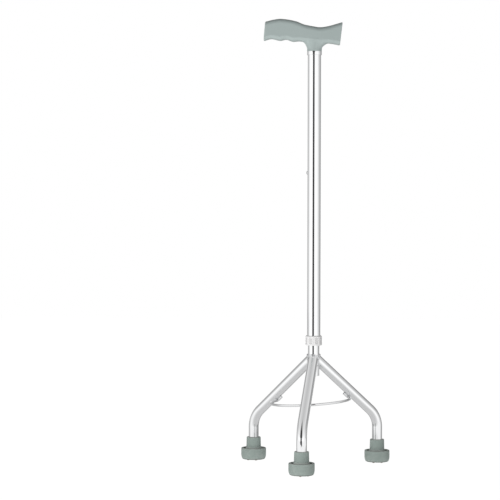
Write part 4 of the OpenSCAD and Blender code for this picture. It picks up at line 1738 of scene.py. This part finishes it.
@dataclass
class Handle:
    """The moulded handle with its finger hollows, the ring under it and the screw behind it.

    Its side view is a crown over a belly, with the belly drawn down round the mast into a neck.
    The crown and the fingers are given along the handle, from -1 at the grip's end to 1 at the
    heel's: the crown in shares of the handle's height, the fingers in multiples of their depth.
    The flare is given up the neck, with its shares towards the grip, the heel and the sides.
    """

    crown: tuple[Span, ...] = (
        (-0.98, 0.92), (-0.83, 0.975), (-0.66, 1.0), (-0.38, 0.93), (-0.19, 0.82), (0.13, 0.742),
        (0.46, 0.768), (1.0, 0.9))
    fingers: tuple[Span, ...] = (
        (-1.0, 0.0), (-0.85, 0.95), (-0.675, 0.17), (-0.55, 0.65), (-0.43, -0.25), (-0.3, -0.1), (-0.2, -0.4))
    flare: tuple[tuple[float, float, float, float], ...] = (
        (0.0, 0.0, 0.0, 0.0), (0.24, 0.0, 0.01, 0.0), (0.42, 0.13, 0.11, 0.17), (0.63, 0.35, 0.41, 0.43),
        (0.79, 0.66, 0.76, 0.7), (1.0, 1.0, 1.0, 1.0))
    flare_height: float = 19 * MM
    flare_grip: float = 8.5 * MM
    flare_heel: float = 17 * MM
    flare_side: float = 2.3 * MM
    grip_under: float = 17.7 * MM
    finger_depth: float = 3.6 * MM
    heel_from: float = 0.1
    heel_to: float = 0.53
    heel_under: float = 13.7 * MM
    heel_tip_drop: float = 3.3 * MM
    grip_slant: float = 2.7 * MM
    heel_slant: float = 4.5 * MM
    slant_rounds: int = 3
    slant_limit: float = 1.2
    end_round: float = 1.8 * MM
    top_round: float = 8.2 * MM
    low_bevel: float = 4.4 * MM
    edge_round: float = 0.9 * MM
    neck_fillet: float = 2.5 * MM
    barrel: float = 1.2 * MM
    pitch: float = 0.65 * MM
    spare: float = 1.5 * MM
    neck_wall: float = 1.1 * MM
    bore_gap: float = 0.1 * MM
    ring_height: float = 6.3 * MM
    ring_lower_round: float = 2.2 * MM
    ring_upper_round: float = 0.25 * MM
    ring_bore_round: float = 0.15 * MM
    screw_height: float = 20 * MM
    screw_hole: float = 1.75 * MM
    screw_head: float = 3.6 * MM
    screw_recess: float = 1.2 * MM
    screw_head_thick: float = 1.6 * MM
    cutter_past: float = 8 * MM
    round_sides: int = 144
    screw_sides: int = 48

    def __post_init__(self) -> None:
        """Takes the handle's reaches and height from its box."""
        low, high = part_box("handle")
        samples = 801
        peak = through(self.crown, np.linspace(-1.0, 1.0, samples)).max()
        self.foot, self.height = low.z, (high.z - low.z) / peak
        self.grip, self.heel = AXIS.x - low.x, high.x - AXIS.x
        self.half_depth = (high.y - low.y) / 2
        self.bore = half_width("mast_tube") + self.bore_gap
        self.neck = self.bore + self.neck_wall
        self.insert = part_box("mast_tube")[1].z - low.z

    def build(self) -> None:
        """Builds and fits the handle and its ring, and dresses its screw."""
        fit(self.body_piece(), "mast", GREEN_PLASTIC, "handle")
        ring = revolved(rounded([
            Corner(self.bore, -self.ring_height, self.ring_bore_round),
            Corner(self.neck, -self.ring_height, self.ring_lower_round),
            Corner(self.neck, 0.0, self.ring_upper_round), Corner(self.bore, 0.0),
        ], steps=8), self.round_sides)
        place = Matrix.Translation(on_axis(self.foot))
        fit(ring.piece("handle_ring", CHROME, place), "mast", CHROME, "handle_ferrule")
        dress("handle_screw", ZINC_STEEL)

    def body_field(self, x: np.ndarray, y: np.ndarray, z: np.ndarray) -> np.ndarray:
        """Gives the body's field: a section with rounded corners between the belly and the crown,
        closed by the two leaning ends.

        Args:
            x: distance from the mast's axis towards the heel.
            y: distance from the middle of the depth.
            z: height above the handle's foot.

        Returns:
            The field at each place.
        """
        plain = x
        for _ in range(self.slant_rounds):
            share = np.where(plain < 0, plain / self.grip, plain / self.heel)
            top = through(self.crown, share) * self.height
            low = through(self.belly(), share)
            rise = np.clip((z - low) / (top - low) * 2 - 1, -self.slant_limit, self.slant_limit)
            lean = self.heel_slant * np.clip(share, 0, 1) ** 2 * (1 - rise) / 2
            plain = x + lean - self.grip_slant * np.clip(-share, 0, 1) ** 2 * (1 + rise) / 2
        along = (plain + self.grip) / (self.grip + self.heel)
        half = self.half_depth - self.barrel * (2 * np.clip(along, 0, 1) - 1) ** 2
        middle, reach = (top + low) / 2, (top - low) / 2
        beside, beyond = np.abs(y) - half, np.abs(z - middle) - reach
        upper = z > middle
        section = both(beside, beyond, np.where(upper, self.top_round, self.edge_round))
        bevel = (beside + beyond + self.low_bevel) / sqrt(2)
        section = np.where(upper, section, both(section, bevel, self.edge_round))
        ends = np.maximum(plain - self.heel, -self.grip - plain)
        return both(section, ends, self.end_round)

    def belly(self) -> list[Span]:
        """Draws the line under the handle: the finger hollows, the neck's place and the heel.

        Returns:
            Place along the handle and height of its points.
        """
        grip = [(share, self.grip_under + depth * self.finger_depth) for share, depth in self.fingers]
        heel = [(self.heel_from, self.heel_under), (self.heel_to, self.heel_under)]
        return [*grip, *heel, (1.0, self.heel_under - self.heel_tip_drop)]

    def neck_field(self, x: np.ndarray, y: np.ndarray, z: np.ndarray) -> np.ndarray:
        """Gives the field of the neck, which flares from the ring up into the body.

        Args:
            x: distance from the mast's axis towards the heel.
            y: distance from the middle of the depth.
            z: height above the handle's foot.

        Returns:
            The field at each place.
        """
        share = z / self.flare_height
        grip, heel, side = (through([(row[0], row[k]) for row in self.flare], share) for k in (1, 2, 3))
        reach = np.where(x < 0, self.neck + grip * self.flare_grip, self.neck + heel * self.flare_heel)
        half = np.minimum(self.neck + side * self.flare_side, self.half_depth - self.barrel)
        around = (np.hypot(x / reach, y / half) - 1) * np.minimum(reach, half)
        return np.maximum(around, np.maximum(z - self.flare_height, -self.spare - z))

    def field(self, places: np.ndarray) -> np.ndarray:
        """Returns the field of the whole handle at places in the frame."""
        x, y, z = (places[..., k] - origin for k, origin in enumerate((AXIS.x, AXIS.y, self.foot)))
        return either(self.body_field(x, y, z), self.neck_field(x, y, z), self.neck_fillet)

    def body_piece(self) -> bpy.types.Object:
        """Makes the moulded body, with the mast's socket and the screw's seat cut into it.

        Returns:
            The body.
        """
        low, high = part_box("handle")
        margin = Vector((1, 1, 1)) * 2 * self.spare
        net = SurfaceNet(self.field, low - margin, high + margin, self.pitch)
        piece = net.build().piece("moulded_handle", GREEN_PLASTIC)
        past, top = self.cutter_past, self.insert + self.bore_gap
        socket = revolved([
            (0.0, -past), (2 * self.neck, -past), (2 * self.neck, 0.0), (self.bore, 0.0), (self.bore, top),
            (0.0, top)], self.round_sides)
        place = Matrix.Translation(on_axis(self.foot))
        cut_away(piece, socket.piece("socket", GREEN_PLASTIC, place))
        seat, outside = self.half_depth - self.screw_recess - self.screw_head_thick, self.half_depth + past
        head, shank = self.screw_head + self.bore_gap, self.screw_hole
        screw = revolved([
            (0.0, 0.0), (shank, 0.0), (shank, seat), (head, seat), (head, outside), (0.0, outside)],
            self.screw_sides)
        place = Matrix.Translation(on_axis(self.foot + self.screw_height))
        backwards = Matrix.Rotation(radians(-90), 4, "X")
        cut_away(piece, screw.piece("screw_seat", GREEN_PLASTIC, place @ backwards))
        store_straight(piece.data, [point.co for point in piece.data.vertices])
        return piece


# The studio


@dataclass(frozen=True)
class Profile:
    """A brightness that changes along a range, in straight steps."""

    stops: tuple[Span, ...]

    def read(self, graph: Graph, value: Input) -> Output:
        """Adds the nodes that read the brightness.

        Args:
            graph: the nodes to add to.
            value: the place in the range.

        Returns:
            The brightness there.
        """
        low, high = self.stops[0][0], self.stops[-1][0]
        share = graph.math("DIVIDE", graph.math("SUBTRACT", value, low), high - low)
        ramp = graph.add("ShaderNodeValToRGB", {0: share})
        stops = ramp.color_ramp.elements
        for place, shade in self.stops[1:-1]:
            stops.new((place - low) / (high - low)).color = rgba(grey(shade))
        for k in (0, -1):
            stops[k].color = rgba(grey(self.stops[k][1]))
        return ramp.outputs[0]


@dataclass
class Studio:
    """A white room with one dark screen beside the camera, a pale floor, a soft lamp and the camera.

    Directions are in degrees about the cane from the camera's side, positive towards the grip, and
    heights of the room in degrees above the horizon.
    """

    camera_gap: float = 3.0
    camera_height: float = 0.432
    camera_lens: float = 128.7
    camera_yaw: float = 2.048
    camera_pitch: float = 1.33
    camera_roll: float = 0.11
    room: Profile = Profile((
        (-180, 0.34), (-130, 0.34), (-112, 0.42), (-95, 0.56), (-72, 0.82), (-55, 1.0), (75, 1.0), (88, 0.90),
        (105, 0.62), (125, 0.50), (180, 0.44)))
    room_gain: float = 1.13
    heights: Profile = Profile((
        (-90, 0.7), (-30, 0.7), (-12, 1.0), (4, 1.0), (18, 0.8), (28, 0.8), (90, 0.8)))
    back_turns: Span = (124.0, 150.0)
    back_heights: Span = (10.0, 26.0)
    back_shade: float = 0.45
    ceiling: Profile = Profile(((30, 0.72), (40, 0.70), (55, 0.63), (75, 0.55), (90, 0.52)))
    ceiling_edges: Span = (24.0, 34.0)
    screen_heights: Profile = Profile(((-90, 0.05), (30, 0.05), (60, 0.25), (90, 0.5)))
    screen_middle: float = 10.0
    screen_half: float = 16.0
    screen_softness: float = 1.5
    screen_spread: float = 8.0
    screen_spread_above: Span = (5.8, 8.5)
    screen_spread_below: Span = (-6.4, -5.8)
    fill: Profile = Profile((
        (-90, 1.05), (0, 1.0), (12, 0.40), (28, 0.05), (42, 0.05), (75, 0.25), (90, 0.25)))
    floor_albedo: float = 0.3
    floor_shine: float = 0.96
    floor_fill: float = 0.6
    floor_mirrored: Profile = Profile(((0.08, 0.56), (0.14, 0.58), (0.22, 0.70), (0.34, 0.80), (0.6, 0.92)))
    floor_turns: Span = (0.10, 0.24)
    floor_side: float = 0.93
    floor_side_away: Span = (0.30, 0.38)
    floor_side_depth: Span = (-0.02, 0.10)
    floor_front: float = -0.48
    floor_size: float = 4.0
    lamp_place: tuple[float, float, float] = (-0.7, -1.35, 0.14)
    lamp_width: float = 0.7
    lamp_power: float = 9.4

    def build(self) -> None:
        """Builds the camera, the room, the lamp and the floor."""
        self.build_camera()
        self.build_room()
        self.build_lamp()
        self.build_floor()
        bpy.context.scene.view_settings.view_transform = "Standard"

    def build_camera(self) -> None:
        """Places the camera in front of the cane, turned a little towards the grip."""
        camera = in_scene("camera", bpy.data.cameras.new("camera"))
        camera.data.lens = self.camera_lens
        place = Matrix.Translation(AXIS + Vector((0.0, -self.camera_gap, self.camera_height)))
        yaw = Matrix.Rotation(radians(self.camera_yaw), 4, "Z")
        pitch = Matrix.Rotation(radians(90 - self.camera_pitch), 4, "X")
        camera.matrix_world = place @ (yaw @ pitch) @ Matrix.Rotation(radians(self.camera_roll), 4, "Z")
        bpy.context.scene.camera = camera

    def around(self, graph: Graph, place: bpy.types.bpy_prop_collection) -> Output:
        """Returns the direction of a place about the cane, in degrees from the camera's side."""
        sideways, forwards = (graph.math("MULTIPLY", place[axis], -1.0) for axis in "XY")
        return graph.math("DEGREES", graph.math("ARCTAN2", sideways, forwards))

    def by_ray(self, graph: Graph, plain: Input, mirrored: Input, seen: Input) -> Output:
        """Chooses a brightness by the kind of ray.

        Args:
            graph: the nodes to add to.
            plain: what lights diffuse surfaces.
            mirrored: what shows in metal.
            seen: what the camera sees, directly or through a clear piece.

        Returns:
            The brightness.
        """
        path = graph.add("ShaderNodeLightPath").outputs
        direct = graph.math("MAXIMUM", path["Is Camera Ray"], path["Is Transmission Ray"])
        return graph.mix(direct, graph.mix(path["Is Glossy Ray"], plain, mirrored), seen)

    def screen(self, graph: Graph, around: Output, height: Output) -> Output:
        """Covers a stripe of the room with the dark screen, narrower above and below its middle.

        Args:
            graph: the world's nodes.
            around: the direction about the cane.
            height: the height in the room.

        Returns:
            1 on the screen and 0 beside it.
        """
        above = graph.step(height, *self.screen_spread_above)
        below = graph.step(height, *self.screen_spread_below, (1.0, 0.0))
        spread = graph.math("MULTIPLY", graph.math("ADD", above, below), self.screen_spread)
        off = graph.math("ABSOLUTE", graph.math("SUBTRACT", around, self.screen_middle))
        off = graph.math("SUBTRACT", off, spread)
        return graph.step(off, self.screen_half - self.screen_softness, self.screen_half, (1.0, 0.0))

    def build_room(self) -> None:
        """Builds the world: white to the camera, the room to metal, and a soft fill to the rest."""
        world = bpy.data.worlds.new("studio")
        world.use_nodes = True
        bpy.context.scene.world = world
        graph = Graph(world.node_tree)
        where = graph.parts(graph.add("ShaderNodeTexCoord").outputs["Generated"])
        around = self.around(graph, where)
        height = graph.math("DEGREES", graph.math("ARCSINE", where["Z"]))
        room = graph.math("MULTIPLY", self.room.read(graph, around), self.heights.read(graph, height))
        room = graph.mix(graph.step(height, *self.ceiling_edges), room, self.ceiling.read(graph, height))
        behind = graph.step(graph.math("ABSOLUTE", around), *self.back_turns)
        behind = graph.math("MULTIPLY", behind, graph.step(height, *self.back_heights))
        room = graph.vector("MULTIPLY", room, graph.mix(behind, WHITE, grey(self.back_shade)))
        screen = self.screen(graph, around, height)
        mirrored = graph.mix(screen, room, self.screen_heights.read(graph, height))
        mirrored = graph.vector("MULTIPLY", mirrored, grey(self.room_gain))
        light = self.by_ray(graph, self.fill.read(graph, height), mirrored, WHITE)
        graph.feed(world.node_tree.nodes["Background"].inputs["Color"], light)

    def build_lamp(self) -> None:
        """Hangs a broad soft lamp in front, on the grip's side."""
        lamp = bpy.data.lights.new("soft_lamp", "AREA")
        lamp.shape, lamp.size, lamp.energy = "DISK", self.lamp_width, self.lamp_power
        made = in_scene("soft_lamp", lamp)
        place = Vector(self.lamp_place)
        aim = Vector((0.0, 0.0, place.z)) - place
        made.matrix_world = Matrix.Translation(place) @ aim.to_track_quat("-Z", "Y").to_matrix().to_4x4()
        made.visible_glossy = False

    def build_floor(self) -> None:
        """Lays a pale floor that keeps the cane's shadow. What the metal shows of it is darker near
        the cane and paler further out in front."""
        side, front = self.floor_size, self.floor_front
        mesh = bpy.data.meshes.new("floor")
        corners = [(-side, front, 0), (side, front, 0), (side, side, 0), (-side, side, 0)]
        mesh.from_pydata(corners, [], [(0, 1, 2, 3)])
        floor = in_scene("floor", mesh)
        made = bpy.data.materials.new("pale_floor")
        made.use_nodes = True
        made.node_tree.nodes.clear()
        graph = Graph(made.node_tree)
        where = graph.place()
        away, place = graph.vector("LENGTH", where, out=1), graph.parts(where)
        room = self.room.read(graph, self.around(graph, place))
        room = graph.mix(graph.step(away, *self.floor_turns), WHITE, room)
        mirrored = graph.vector("MULTIPLY", self.floor_mirrored.read(graph, away), room)
        near_front = graph.step(place["Y"], *self.floor_side_depth, (1.0, 0.0))
        beside = graph.math("MULTIPLY", graph.step(away, *self.floor_side_away), near_front)
        mirrored = graph.mix(beside, mirrored, grey(self.floor_side))
        shine = self.by_ray(graph, grey(self.floor_fill), mirrored, grey(self.floor_shine))
        diffuse = graph.add("ShaderNodeBsdfDiffuse", {"Color": rgba(grey(self.floor_albedo))}).outputs[0]
        glow = graph.add("ShaderNodeEmission", {"Color": shine}).outputs[0]
        surface = graph.add("ShaderNodeAddShader", {0: diffuse, 1: glow}).outputs[0]
        graph.add("ShaderNodeOutputMaterial", {"Surface": surface})
        mesh.materials.append(made)
        floor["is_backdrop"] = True


def write_sizes() -> None:
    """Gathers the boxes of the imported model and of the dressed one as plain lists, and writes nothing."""
    boxes = {"cad": cad_box, "visual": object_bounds()}
    plain = {name: [list(corner) for corner in box] for name, box in boxes.items()}


def main() -> None:
    """Builds the studio and the cane, from the handle down to the feet."""
    logging.basicConfig(level=logging.INFO, format="%(name)s: %(message)s")
    Studio().build()
    Handle().build()
    mast = Mast()
    mast.build()
    Stem(mast.hole_turn).build()
    Collar().build()
    legs = LegSet()
    legs.build()
    Brace(legs.legs).build()
    for leg in legs.legs:
        Foot(leg).build()
    write_sizes()


if __name__ == "__main__":
    main()
